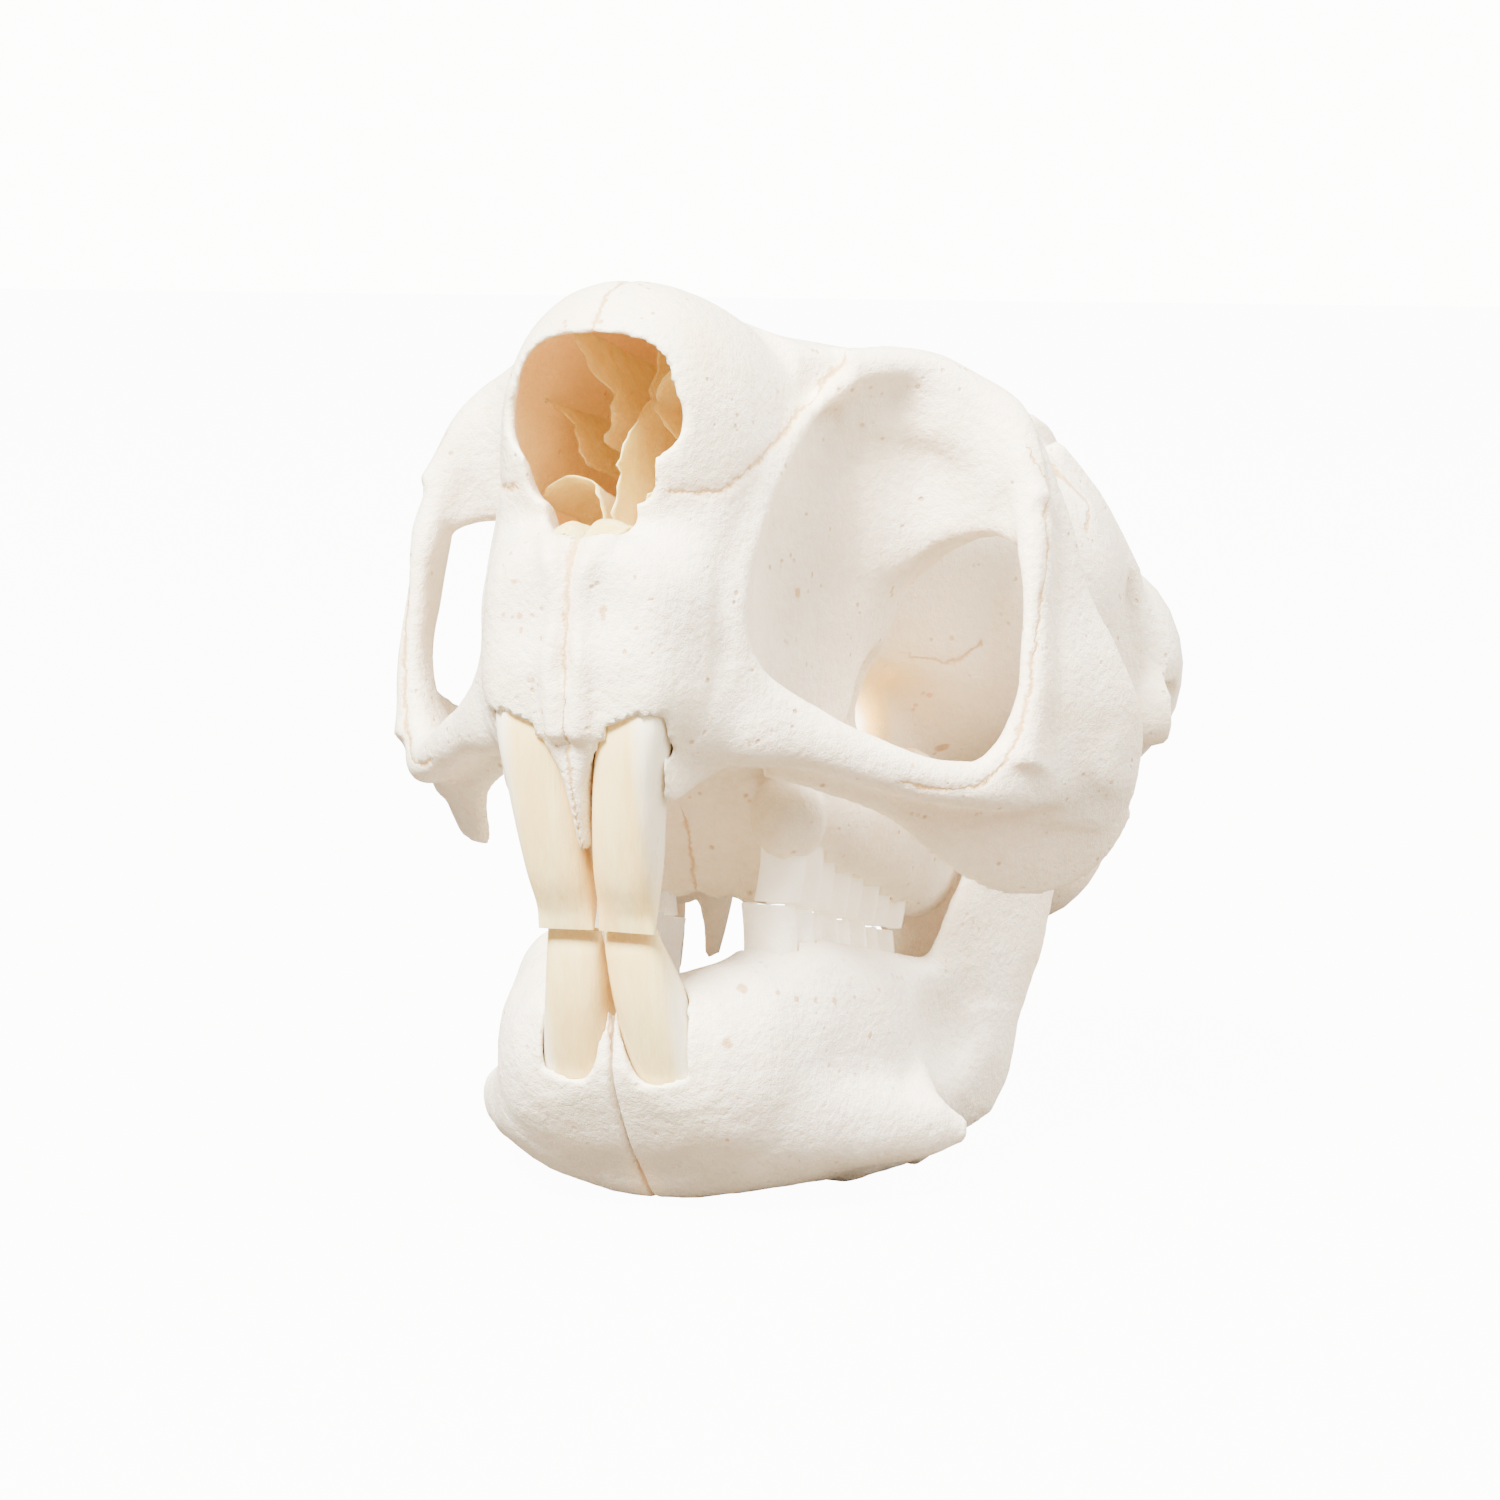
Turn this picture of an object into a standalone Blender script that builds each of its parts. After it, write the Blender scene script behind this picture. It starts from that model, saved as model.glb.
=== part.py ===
"""Springhare skull with its lower jaw in place, in metres, +Z up, nose towards -Y.

The forms are laid out in skull millimetres: x to the animal's left, y back from the
rim of the upper incisor sockets, z up. The skull rests on its chin and on the two
angles of the jaw, so the whole is pitched nose up by the angle of that seat.
"""

import math

import bpy
import bmesh
import numpy as np
from mathutils import Matrix, Vector

# Seat of the skull: pitch, and the skull point that lands on the origin
REST_PITCH = math.radians(5.5)
SEAT_MIDDLE = 41.62
SEAT_DROP = -32.65

# Main sizes, in skull millimetres
ROSTRUM_HALF_WIDTH = 9.6
NASAL_CREST = 30.5
PALATE_LEVEL = -12.2
ROOF_LEVEL = 28.0
ORBIT_WALL = 11.5
BRAINCASE_CENTRE = (0.0, 58.0, 10.5)
BRAINCASE_RADII = (20.0, 20.0, 15.5)
BRAIN_WALL = 2.4
JAW_SPLIT = 0.16
CHEEK_TEETH = 4
CHEEK_TOOTH_PITCH = 5.1
TOOTH_GAP = 0.65
ROOT_ROOM = 1.4

# Fineness of the faceted solids
CRANIUM_VOXEL = 0.7
JAW_VOXEL = 0.6
SOCKET_VOXEL = 0.5
CRANIUM_FACES = 5000
JAW_FACES = 1200
SHARP_EDGE = math.radians(45)


def place(point):
    """Turn a point in skull millimetres into metres on the resting skull."""
    x, y, z = point
    dy = y - SEAT_MIDDLE
    back = dy * math.cos(REST_PITCH) + z * math.sin(REST_PITCH)
    up = -dy * math.sin(REST_PITCH) + (z - SEAT_DROP) * math.cos(REST_PITCH)
    return Vector((x, back, up)) * 0.001


def clear_scene():
    for old in list(bpy.data.objects):
        bpy.data.objects.remove(old)


def smooth_rows(rows, steps):
    """Rows of numbers sampled along a smooth curve through every row."""
    rows = np.array(rows, dtype=float)
    padded = np.vstack([2 * rows[0] - rows[1], rows, 2 * rows[-1] - rows[-2]])
    samples = []
    for i in range(len(rows) - 1):
        p0, p1, p2, p3 = padded[i:i + 4]
        for j in range(steps):
            t = j / steps
            a = 2 * p1
            b = (p2 - p0) * t
            c = (2 * p0 - 5 * p1 + 4 * p2 - p3) * t * t
            d = (3 * p1 - p0 - 3 * p2 + p3) * t ** 3
            samples.append(0.5 * (a + b + c + d))
    samples.append(rows[-1])
    return np.array(samples)


def ring(centre, u, v, exponent, count):
    """Points of a rounded rectangle round centre, with half axes u and v."""
    points = []
    for i in range(count):
        angle = 2 * math.pi * i / count
        c, s = math.cos(angle), math.sin(angle)
        cx = math.copysign(abs(c) ** (2 / exponent), c)
        sy = math.copysign(abs(s) ** (2 / exponent), s)
        points.append(centre + u * cx + v * sy)
    return points


def skin(bm, rings, mirrored=False):
    """Closed body through a row of rings, with flat ends."""
    loops = []
    for points in rings:
        loop = []
        for p in points:
            x = -p[0] if mirrored else p[0]
            loop.append(bm.verts.new(place((x, p[1], p[2]))))
        loops.append(loop)
    faces = []
    count = len(loops[0])
    for low, high in zip(loops, loops[1:]):
        for i in range(count):
            j = (i + 1) % count
            faces.append(bm.faces.new((low[i], low[j], high[j], high[i])))
    faces.append(bm.faces.new(list(reversed(loops[0]))))
    faces.append(bm.faces.new(loops[-1]))
    bmesh.ops.recalc_face_normals(bm, faces=faces)


def trunk(bm, stations, exponent=2.6, steps=3, count=24, sides=(1,)):
    """Body along y: each station is y, x centre, half width, low z and high z."""
    rings = []
    for y, x, w, low, high in smooth_rows(stations, steps):
        centre = np.array([x, y, (low + high) / 2])
        u = np.array([w, 0, 0])
        v = np.array([0, 0, (high - low) / 2])
        rings.append(ring(centre, u, v, exponent, count))
    for side in sides:
        skin(bm, rings, mirrored=side < 0)


def limb(bm, stations, side_axis, exponent=2.2, steps=3, count=14, sides=(1, -1)):
    """Body along a path: each station is x, y, z, half size across and along side_axis."""
    rows = smooth_rows(stations, steps)
    path = rows[:, :3]
    tangents = np.gradient(path, axis=0)
    rings = []
    for row, tangent in zip(rows, tangents):
        t = tangent / np.linalg.norm(tangent)
        v = np.array(side_axis, dtype=float)
        v -= t * v.dot(t)
        v /= np.linalg.norm(v)
        u = np.cross(v, t)
        rings.append(ring(row[:3], u * row[3], v * row[4], exponent, count))
    for side in sides:
        skin(bm, rings, mirrored=side < 0)


def lump(bm, centre, radii, sides=(1, -1), turn=0.0, detail=3):
    """Rounded mass, turned about z by an angle in degrees."""
    for side in sides:
        made = bmesh.ops.create_icosphere(bm, subdivisions=detail, radius=1.0)
        spin = Matrix.Rotation(math.radians(turn), 3, "Z")
        for vert in made["verts"]:
            p = spin @ Vector([vert.co[i] * radii[i] for i in range(3)])
            x = (p.x + centre[0]) * side
            vert.co = place((x, p.y + centre[1], p.z + centre[2]))
        if side < 0:
            faces = {f for vert in made["verts"] for f in vert.link_faces}
            bmesh.ops.reverse_faces(bm, faces=list(faces))


def as_object(name, bm, material=None):
    mesh = bpy.data.meshes.new(name)
    bm.to_mesh(mesh)
    bm.free()
    mesh.shade_smooth()
    mesh.set_sharp_from_angle(angle=SHARP_EDGE)
    obj = bpy.data.objects.new(name, mesh)
    bpy.context.scene.collection.objects.link(obj)
    if material:
        mesh.materials.append(material)
    return obj


def as_cutter(obj):
    obj.hide_render = True
    obj.display_type = "WIRE"
    return obj


def fuse(obj, voxel):
    """Melt the overlapping bodies of an object into one skin."""
    modifier = obj.modifiers.new("fuse", "REMESH")
    modifier.mode = "VOXEL"
    modifier.use_smooth_shade = True
    modifier.voxel_size = voxel * 0.001


def soften(obj, turns, factor=0.5):
    modifier = obj.modifiers.new("soften", "SMOOTH")
    modifier.factor = factor
    modifier.iterations = turns


def carve(obj, cutter, crossing=False):
    """Take a cutter away; crossing says that bodies of the cutter cross each other."""
    modifier = obj.modifiers.new("carve", "BOOLEAN")
    modifier.operation = "DIFFERENCE"
    modifier.solver = "EXACT"
    modifier.use_self = crossing
    modifier.object = cutter


def finish(name, colour, roughness):
    """Plain matt or satin finish of one kind of piece."""
    material = bpy.data.materials.new(name)
    material.use_nodes = True
    shader = material.node_tree.nodes["Principled BSDF"]
    shader.inputs["Base Color"].default_value = (*colour, 1.0)
    shader.inputs["Roughness"].default_value = roughness
    shader.inputs["Metallic"].default_value = 0.0
    return material


def rostrum(bm):
    """Snout: premaxillae, maxillae and the domed nasals over them."""
    trunk(bm, [
        (0.2, 0, 7.2, -0.8, 26.3),
        (1.8, 0, 8.4, -4.4, 28.6),
        (4.5, 0, 9.1, -4.6, 30.1),
        (8.0, 0, ROSTRUM_HALF_WIDTH, -3.2, NASAL_CREST),
        (14.0, 0, ROSTRUM_HALF_WIDTH, -3.2, 30.1),
        (20.0, 0, 9.7, -4.2, 29.0),
        (26.0, 0, 10.6, 0.0, 28.4),
        (34.0, 0, ORBIT_WALL, 4.0, 27.6),
        (44.0, 0, 12.5, 3.0, 26.2),
        (52.0, 0, 14.0, 0.0, 25.0),
    ], exponent=3.2)
    # Narrower bone under the eyes
    trunk(bm, [
        (14.0, 0, 9.2, -3.2, 8.0),
        (22.0, 0, 9.2, -4.6, 8.0),
        (32.0, 0, 8.6, -7.0, 8.0),
        (42.0, 0, 7.6, -7.5, 6.0),
        (54.0, 0, 8.0, -7.0, 4.0),
    ], exponent=3.2)
    # Flat front of the premaxillae, and their tongue between the incisors
    trunk(bm, [
        (-0.9, 0, 5.4, 0.2, 11.6),
        (0.0, 0, 6.9, -0.8, 12.6),
        (2.6, 0, 8.2, -1.4, 14.0),
    ], exponent=3.4)
    limb(bm, [
        (0.0, 1.2, 2.0, 3.4, 1.7),
        (0.0, 1.0, -1.6, 2.4, 1.5),
        (0.0, 1.5, -4.6, 1.0, 1.2),
        (0.0, 2.6, -9.2, 0.45, 0.9),
    ], side_axis=(0, 1, 0), sides=(1,))


def skull_roof(bm):
    """Broad flat frontals, running back to the low parietals."""
    trunk(bm, [
        (17.0, 0, 8.5, 23.5, 28.9),
        (22.0, 0, 11.4, 23.0, 28.5),
        (27.0, 0, 15.8, 22.8, ROOF_LEVEL),
        (33.0, 0, 16.8, 22.0, 27.6),
        (41.0, 0, 15.6, 20.5, 27.0),
        (50.0, 0, 14.0, 18.5, 26.0),
        (60.0, 0, 12.5, 15.0, 24.8),
        (69.0, 0, 10.0, 12.0, 22.8),
    ], exponent=2.8)


def braincase(bm):
    lump(bm, BRAINCASE_CENTRE, BRAINCASE_RADII, sides=(1,), detail=4)
    # Mastoid swellings at the back corners, ear drums' bullae below
    lump(bm, (12.4, 70.6, 5.0), (8.9, 9.6, 9.4))
    lump(bm, (11.0, 65.0, -5.5), (7.2, 10.5, 8.8), turn=12)
    # Back wall of the skull and the two condyles beside the great opening
    lump(bm, (0.0, 74.0, 6.0), (15.0, 8.5, 13.0), sides=(1,))
    lump(bm, (5.6, 81.0, -2.5), (2.4, 3.4, 3.4))
    # Tube of the ear, open to the side and back
    limb(bm, [
        (14.0, 64.0, 0.5, 3.4, 3.4),
        (18.0, 67.0, 1.4, 3.1, 3.1),
        (20.4, 69.0, 1.9, 2.9, 2.9),
    ], side_axis=(0, 0, 1))


def skull_base(bm):
    trunk(bm, [
        (40.0, 0, 6.5, -8.0, 0.0),
        (52.0, 0, 6.0, -8.0, 0.0),
        (64.0, 0, 6.0, -8.0, 0.0),
        (78.0, 0, 6.5, -6.5, 0.0),
    ], exponent=3.0)


def tooth_bearing_maxilla(bm):
    """Swollen bone over the upper cheek teeth, the palate between, the pterygoids behind."""
    trunk(bm, [
        (16.0, 7.4, 2.4, -7.4, -1.0),
        (18.4, 7.8, 3.9, -9.6, -0.5),
        (25.0, 8.2, 4.3, -10.6, -0.5),
        (34.0, 8.5, 4.5, -11.8, -0.5),
        (41.0, 8.7, 4.2, -12.4, -2.0),
        (44.5, 8.6, 2.6, -11.0, -4.0),
    ], exponent=2.6, count=20, sides=(1, -1))
    trunk(bm, [
        (18.5, 0, 5.0, -5.0, -2.0),
        (21.0, 0, 5.5, -7.5, -2.0),
        (24.0, 0, 6.0, PALATE_LEVEL, -4.0),
        (29.0, 0, 6.0, PALATE_LEVEL, -10.4),
    ], exponent=3.6)
    limb(bm, [
        (6.6, 40.0, -9.0, 1.0, 3.5),
        (6.6, 44.5, -12.0, 0.9, 3.2),
        (6.9, 46.4, -15.5, 0.9, 1.9),
        (7.0, 46.4, -18.6, 0.8, 0.9),
    ], side_axis=(0, 1, 0))
    limb(bm, [
        (6.4, 42.0, -7.0, 1.2, 4.0),
        (6.8, 50.0, -8.0, 1.2, 4.0),
        (8.5, 58.0, -9.0, 1.2, 3.5),
    ], side_axis=(0, 0, 1))


def muzzle_muscle_plate(bm):
    """Thin plate in front of the orbit, above the wide opening for the chewing muscle."""
    limb(bm, [
        (8.0, 23.4, 12.8, 2.0, 13.5),
        (9.8, 27.6, 13.6, 1.6, 12.0),
        (12.8, 30.6, 16.8, 1.5, 9.2),
        (16.0, 30.8, 19.2, 1.4, 7.4),
        (19.5, 29.6, 19.2, 1.5, 5.8),
        (23.0, 27.6, 17.5, 1.6, 4.2),
    ], side_axis=(0, 0, 1), exponent=3.0)


def upright_bar(bm):
    """Rim that falls from the frontal, outside the opening, down to the cheek bone."""
    limb(bm, [
        (10.5, 22.0, 26.6, 1.8, 2.2),
        (14.8, 26.8, 26.0, 1.8, 2.2),
        (19.4, 28.6, 22.9, 1.8, 2.2),
        (22.4, 27.8, 18.6, 1.7, 2.2),
        (23.8, 26.4, 13.5, 1.6, 2.2),
        (24.0, 26.0, 8.0, 1.6, 2.2),
        (24.2, 25.6, 2.5, 1.9, 2.3),
        (23.4, 25.0, -2.0, 2.1, 2.6),
    ], side_axis=(0, 1, 0))


def lower_root(bm):
    """Strut from the snout out and back to the cheek bone, under the opening."""
    limb(bm, [
        (7.0, 6.5, 1.0, 2.6, 4.0),
        (9.6, 9.2, -0.4, 2.6, 3.8),
        (13.0, 12.6, -1.8, 2.3, 2.9),
        (17.0, 16.8, -3.6, 2.2, 2.2),
        (20.0, 20.6, -4.4, 2.0, 2.2),
        (22.6, 25.0, -3.6, 1.9, 2.8),
        (24.8, 29.4, -2.6, 1.5, 3.4),
    ], side_axis=(0, 0, 1))
    # Flange that hangs from the strut, hollow on its under side
    limb(bm, [
        (9.0, 14.5, -3.4, 1.2, 1.4),
        (13.5, 17.5, -5.0, 1.2, 2.2),
        (17.3, 21.0, -6.6, 1.1, 2.9),
        (20.2, 25.6, -7.6, 1.1, 3.4),
        (22.8, 30.0, -7.6, 1.1, 3.6),
        (25.8, 34.8, -5.6, 1.1, 2.9),
        (27.6, 38.4, -3.6, 1.0, 1.4),
    ], side_axis=(0, 0.55, -1))


def cheek_bone(bm):
    """Plate of the cheek, its top running up behind the bar, its tail joining the ear region."""
    limb(bm, [
        (24.2, 29.5, 15.0, 1.0, 1.6),
        (25.2, 29.6, 9.0, 1.2, 3.2),
        (26.8, 31.0, 3.0, 1.3, 4.8),
        (26.6, 33.0, -2.5, 1.3, 5.4),
        (25.0, 33.4, -6.4, 1.1, 3.8),
    ], side_axis=(0.42, 1, 0))
    limb(bm, [
        (27.6, 35.0, -0.4, 1.3, 3.8),
        (26.8, 40.0, -0.4, 1.2, 3.2),
        (24.6, 46.0, 0.6, 1.2, 2.8),
        (21.4, 51.0, 3.0, 1.6, 2.8),
        (17.0, 54.0, 5.0, 2.2, 3.2),
    ], side_axis=(0, 0, 1))


def nose_passage(bm):
    """Air space of the snout, narrow at the rim and wide behind it."""
    trunk(bm, [
        (-4.0, 0, 6.0, 15.4, 26.2),
        (2.0, 0, 6.2, 15.6, 26.3),
        (5.0, 0, 7.3, 12.5, 28.4),
        (12.0, 0, 7.6, 6.5, 28.6),
        (22.0, 0, 7.8, 3.0, 26.6),
        (30.0, 0, 7.0, 4.0, 25.0),
    ], exponent=2.8)
    trunk(bm, [
        (-4.0, 0, 3.9, 12.3, 20.0),
        (6.0, 0, 4.0, 12.3, 20.0),
    ], exponent=3.4, steps=2)


def brain_space(bm):
    x, y, z = BRAINCASE_CENTRE
    radii = [r - BRAIN_WALL for r in BRAINCASE_RADII]
    lump(bm, (x, y, z), radii, sides=(1,), detail=3)
    trunk(bm, [
        (66.0, 0, 4.2, -0.6, 8.6),
        (90.0, 0, 4.2, -3.6, 5.6),
    ], exponent=2.2, steps=2)


def throat_passage(bm):
    trunk(bm, [
        (29.6, 0, 3.2, -20.0, -4.0),
        (38.0, 0, 4.6, -20.0, -2.6),
        (52.0, 0, 4.2, -20.0, -3.6),
    ], exponent=3.0, steps=2)


def ear_openings(bm):
    limb(bm, [
        (15.0, 64.6, 0.8, 1.7, 1.7),
        (19.0, 67.8, 1.7, 1.8, 1.8),
        (25.0, 73.0, 3.2, 2.0, 2.0),
    ], side_axis=(0, 0, 1), steps=2)


def cranium_forms(material):
    bm = bmesh.new()
    for grow in (rostrum, skull_roof, braincase, skull_base, tooth_bearing_maxilla,
                 muzzle_muscle_plate, upright_bar, lower_root, cheek_bone):
        grow(bm)
    return as_object("cranium", bm, material)


def cranium_hollows():
    bm = bmesh.new()
    for hollow in (nose_passage, brain_space, throat_passage, ear_openings):
        hollow(bm)
    return as_cutter(as_object("cranium_hollows", bm))


def jaw_forms(name, side, material):
    """One half of the lower jaw: swollen front, tooth-bearing body, ramus and angle."""
    sides = (side,)
    bm = bmesh.new()
    trunk(bm, [
        (8.4, 0, 5.6, -24.6, -19.6),
        (10.0, 0, 8.6, -27.2, -19.2),
        (12.0, 0, 9.8, -29.8, -18.8),
        (14.5, 0, 10.6, -32.4, -18.4),
        (17.5, 0, 10.6, -34.8, -18.6),
        (21.0, 0, 9.4, -35.3, -19.5),
        (25.0, 0, 5.0, -34.0, -24.0),
    ], exponent=2.3, sides=sides)
    trunk(bm, [
        (12.0, 5.8, 3.6, -28.4, -18.4),
        (16.0, 6.8, 4.8, -31.8, -17.3),
        (20.0, 8.4, 5.4, -33.4, -16.9),
        (26.0, 10.0, 5.8, -33.4, -16.8),
        (32.0, 11.2, 5.4, -32.8, -17.0),
        (38.0, 12.0, 4.2, -31.4, -17.2),
        (43.0, 13.6, 2.8, -29.5, -18.4),
    ], exponent=2.5, sides=sides)
    # Ridge for the chewing muscle, flaring out to a point
    limb(bm, [
        (9.8, 15.6, -28.4, 1.8, 2.2),
        (13.0, 21.4, -28.6, 1.9, 2.2),
        (15.8, 26.8, -28.6, 1.7, 1.8),
        (16.7, 30.6, -28.5, 1.4, 1.5),
        (15.8, 36.0, -28.4, 1.3, 2.1),
        (15.2, 42.0, -27.8, 1.2, 2.6),
    ], side_axis=(0, 0, 1), sides=sides)
    # Ramus, leaning out and back to the condyle under the arch
    limb(bm, [
        (13.4, 41.5, -27.0, 1.8, 6.6),
        (14.4, 43.6, -21.0, 1.6, 6.4),
        (15.2, 46.0, -16.0, 1.4, 6.2),
        (16.0, 48.4, -11.0, 1.4, 5.2),
        (17.0, 50.8, -6.0, 1.5, 3.6),
        (17.6, 52.6, -2.4, 1.8, 2.6),
        (17.8, 53.2, -0.6, 1.8, 2.4),
    ], side_axis=(0.3, 1, 0), sides=sides)
    # Angle of the jaw, its lower border turned in, where the skull rests
    limb(bm, [
        (15.2, 44.0, -22.0, 1.2, 5.4),
        (15.0, 44.0, -26.0, 1.3, 5.6),
        (13.6, 43.6, -30.0, 1.4, 4.6),
        (12.6, 43.6, -32.8, 1.6, 3.8),
    ], side_axis=(0, 1, 0), sides=sides)
    return as_object(name, bm, material)


def other_half(side):
    """Block that keeps a jaw half on its own side of the seam."""
    bm = bmesh.new()
    low = Vector((0.0, -0.08, -0.01))
    high = Vector((0.0, 0.08, 0.08))
    seam = JAW_SPLIT * 0.001 * side
    far = -0.03 * side
    made = bmesh.ops.create_cube(bm, size=1.0)
    for vert in made["verts"]:
        vert.co.x = seam if vert.co.x * side > 0 else far
        vert.co.y = high.y if vert.co.y > 0 else low.y
        vert.co.z = high.z if vert.co.z > 0 else low.z
    bmesh.ops.recalc_face_normals(bm, faces=bm.faces[:])
    return as_cutter(as_object("other_half", bm))


def tooth_row_level(y):
    """Level at which upper and lower cheek teeth meet."""
    return -12.9 - 0.13 * (y - 19.0)


def upper_incisor(bm, side, gap=0.0):
    deeper = ROOT_ROOM if gap else 0.0
    limb(bm, [
        (4.1, 6.6 + 0.5 * deeper, 8.0 + deeper, 1.9 + gap, 2.0 + gap),
        (4.1, 4.4, 4.0, 2.1 + gap, 2.4 + gap),
        (3.95, 2.8, 0.0, 2.3 + gap, 2.7 + gap),
        (3.3, 2.7, -5.0, 2.3 + gap, 2.6 + gap),
        (2.8, 3.9, -10.0, 2.2 + gap, 2.2 + gap),
        (2.5, 4.8, -13.0, 2.15 + gap, 1.3 + gap),
        (2.4, 5.1, -15.0, 2.1 + gap, 0.45 + gap),
    ], side_axis=(0, 1, 0), exponent=2.8, steps=2, count=12, sides=(side,))


def lower_incisor(bm, side, gap=0.0):
    deeper = ROOT_ROOM if gap else 0.0
    limb(bm, [
        (2.4, 6.6, -14.6, 2.05 + gap, 0.45 + gap),
        (2.45, 7.4, -16.4, 2.1 + gap, 1.3 + gap),
        (2.8, 9.1, -20.0, 2.15 + gap, 2.2 + gap),
        (3.9, 11.8, -24.5, 2.15 + gap, 2.4 + gap),
        (5.2, 16.0, -27.6, 2.0 + gap, 2.2 + gap),
        (6.8, 21.0 + deeper, -29.0 - 0.3 * deeper, 1.8 + gap, 1.9 + gap),
    ], side_axis=(0, 1, 0), exponent=3.0, steps=2, count=12, sides=(side,))


def cheek_tooth(bm, place_in_row, upper, side, gap=0.0):
    """Two-lobed grinding tooth; place_in_row counts from the front."""
    y = 20.6 + CHEEK_TOOTH_PITCH * place_in_row
    x = (7.5 if upper else 7.1) + 0.35 * place_in_row
    meet = tooth_row_level(y)
    crown = meet + 0.12 if upper else meet - 0.28
    root = crown + 6.4 if upper else crown - 7.2
    rings = []
    for z in np.linspace(root, crown, 3):
        points = []
        for i in range(16):
            angle = 2 * math.pi * (i + 0.5) / 16
            c, s = math.cos(angle), math.sin(angle)
            waist = 1.0 - 0.22 * math.exp(-(s / 0.3) ** 2) * (c > 0)
            px = x + (2.0 + gap) * math.copysign(abs(c) ** 0.7, c) * waist
            py = y + (2.38 + gap) * math.copysign(abs(s) ** 0.7, s)
            tip = 0.13 * (y - py) if z == crown else 0.0
            points.append((px, py, z + tip))
        rings.append(points)
    if gap:
        rings[-1] = [(p[0], p[1], p[2] + (-6.0 if upper else 6.0)) for p in rings[-1]]
        rings[0] = [(p[0], p[1], p[2] + (ROOT_ROOM if upper else -ROOT_ROOM)) for p in rings[0]]
    skin(bm, rings, mirrored=side < 0)


def sockets_of(kinds, side_list):
    """Cutter with the shape of each tooth and the gap round it."""
    bm = bmesh.new()
    for side in side_list:
        for kind in kinds:
            if kind in (upper_incisor, lower_incisor):
                kind(bm, side, TOOTH_GAP)
                continue
            for i in range(CHEEK_TEETH):
                cheek_tooth(bm, i, kind == "upper", side, TOOTH_GAP)
    sockets = as_cutter(as_object("sockets", bm))
    fuse(sockets, SOCKET_VOXEL)
    return sockets


def seat_cutter():
    """Block below the seat, which flattens the chin and the angles of the jaw."""
    bm = bmesh.new()
    made = bmesh.ops.create_cube(bm, size=0.2)
    for vert in made["verts"]:
        vert.co.z -= 0.1
    return as_cutter(as_object("seat", bm))


def facet(obj, target):
    """Bring a solid down to about target triangles."""
    bpy.context.view_layer.update()
    graph = bpy.context.evaluated_depsgraph_get()
    mesh = obj.evaluated_get(graph).to_mesh()
    triangles = sum(len(face.vertices) - 2 for face in mesh.polygons)
    modifier = obj.modifiers.new("facets", "DECIMATE")
    modifier.ratio = min(1.0, target / triangles)


if __name__ == "__main__":
    clear_scene()
    skull_bone = finish("skull_bone", (0.82, 0.78, 0.71), 0.6)
    jaw_bone = finish("jaw_bone", (0.82, 0.79, 0.73), 0.58)
    incisor_enamel = finish("incisor_enamel", (0.84, 0.74, 0.54), 0.3)
    cheek_tooth_enamel = finish("cheek_tooth_enamel", (0.82, 0.76, 0.64), 0.36)
    seat = seat_cutter()
    cranium = cranium_forms(skull_bone)
    hollows = cranium_hollows()
    fuse(cranium, CRANIUM_VOXEL)
    fuse(hollows, CRANIUM_VOXEL)
    carve(cranium, hollows)
    carve(cranium, sockets_of([upper_incisor, "upper"], (1, -1)))
    fuse(cranium, CRANIUM_VOXEL)
    soften(cranium, 3)
    facet(cranium, CRANIUM_FACES)
    for side, word in ((1, "left"), (-1, "right")):
        jaw = jaw_forms("dentary_" + word, side, jaw_bone)
        fuse(jaw, JAW_VOXEL)
        carve(jaw, sockets_of([lower_incisor, "lower"], (side,)))
        fuse(jaw, JAW_VOXEL)
        soften(jaw, 3)
        facet(jaw, JAW_FACES)
        carve(jaw, other_half(side))
        carve(jaw, seat)
        for incisor, row in ((upper_incisor, "upper"), (lower_incisor, "lower")):
            bm = bmesh.new()
            incisor(bm, side)
            as_object(row + "_incisor_" + word, bm, incisor_enamel)
            for i in range(CHEEK_TEETH):
                bm = bmesh.new()
                cheek_tooth(bm, i, row == "upper", side)
                name = row + "_cheek_tooth_" + word + "_" + str(i + 1)
                as_object(name, bm, cheek_tooth_enamel)
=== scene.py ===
"""Springhare skull, bleached and dry, resting on its chin and the angles of its jaw.

Forms are given in skull millimetres: x to the animal's left, y back from the rims of the
upper incisor sockets, z up. Each bone is modelled like clay, in a volume of distances.
"""

import math

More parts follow.
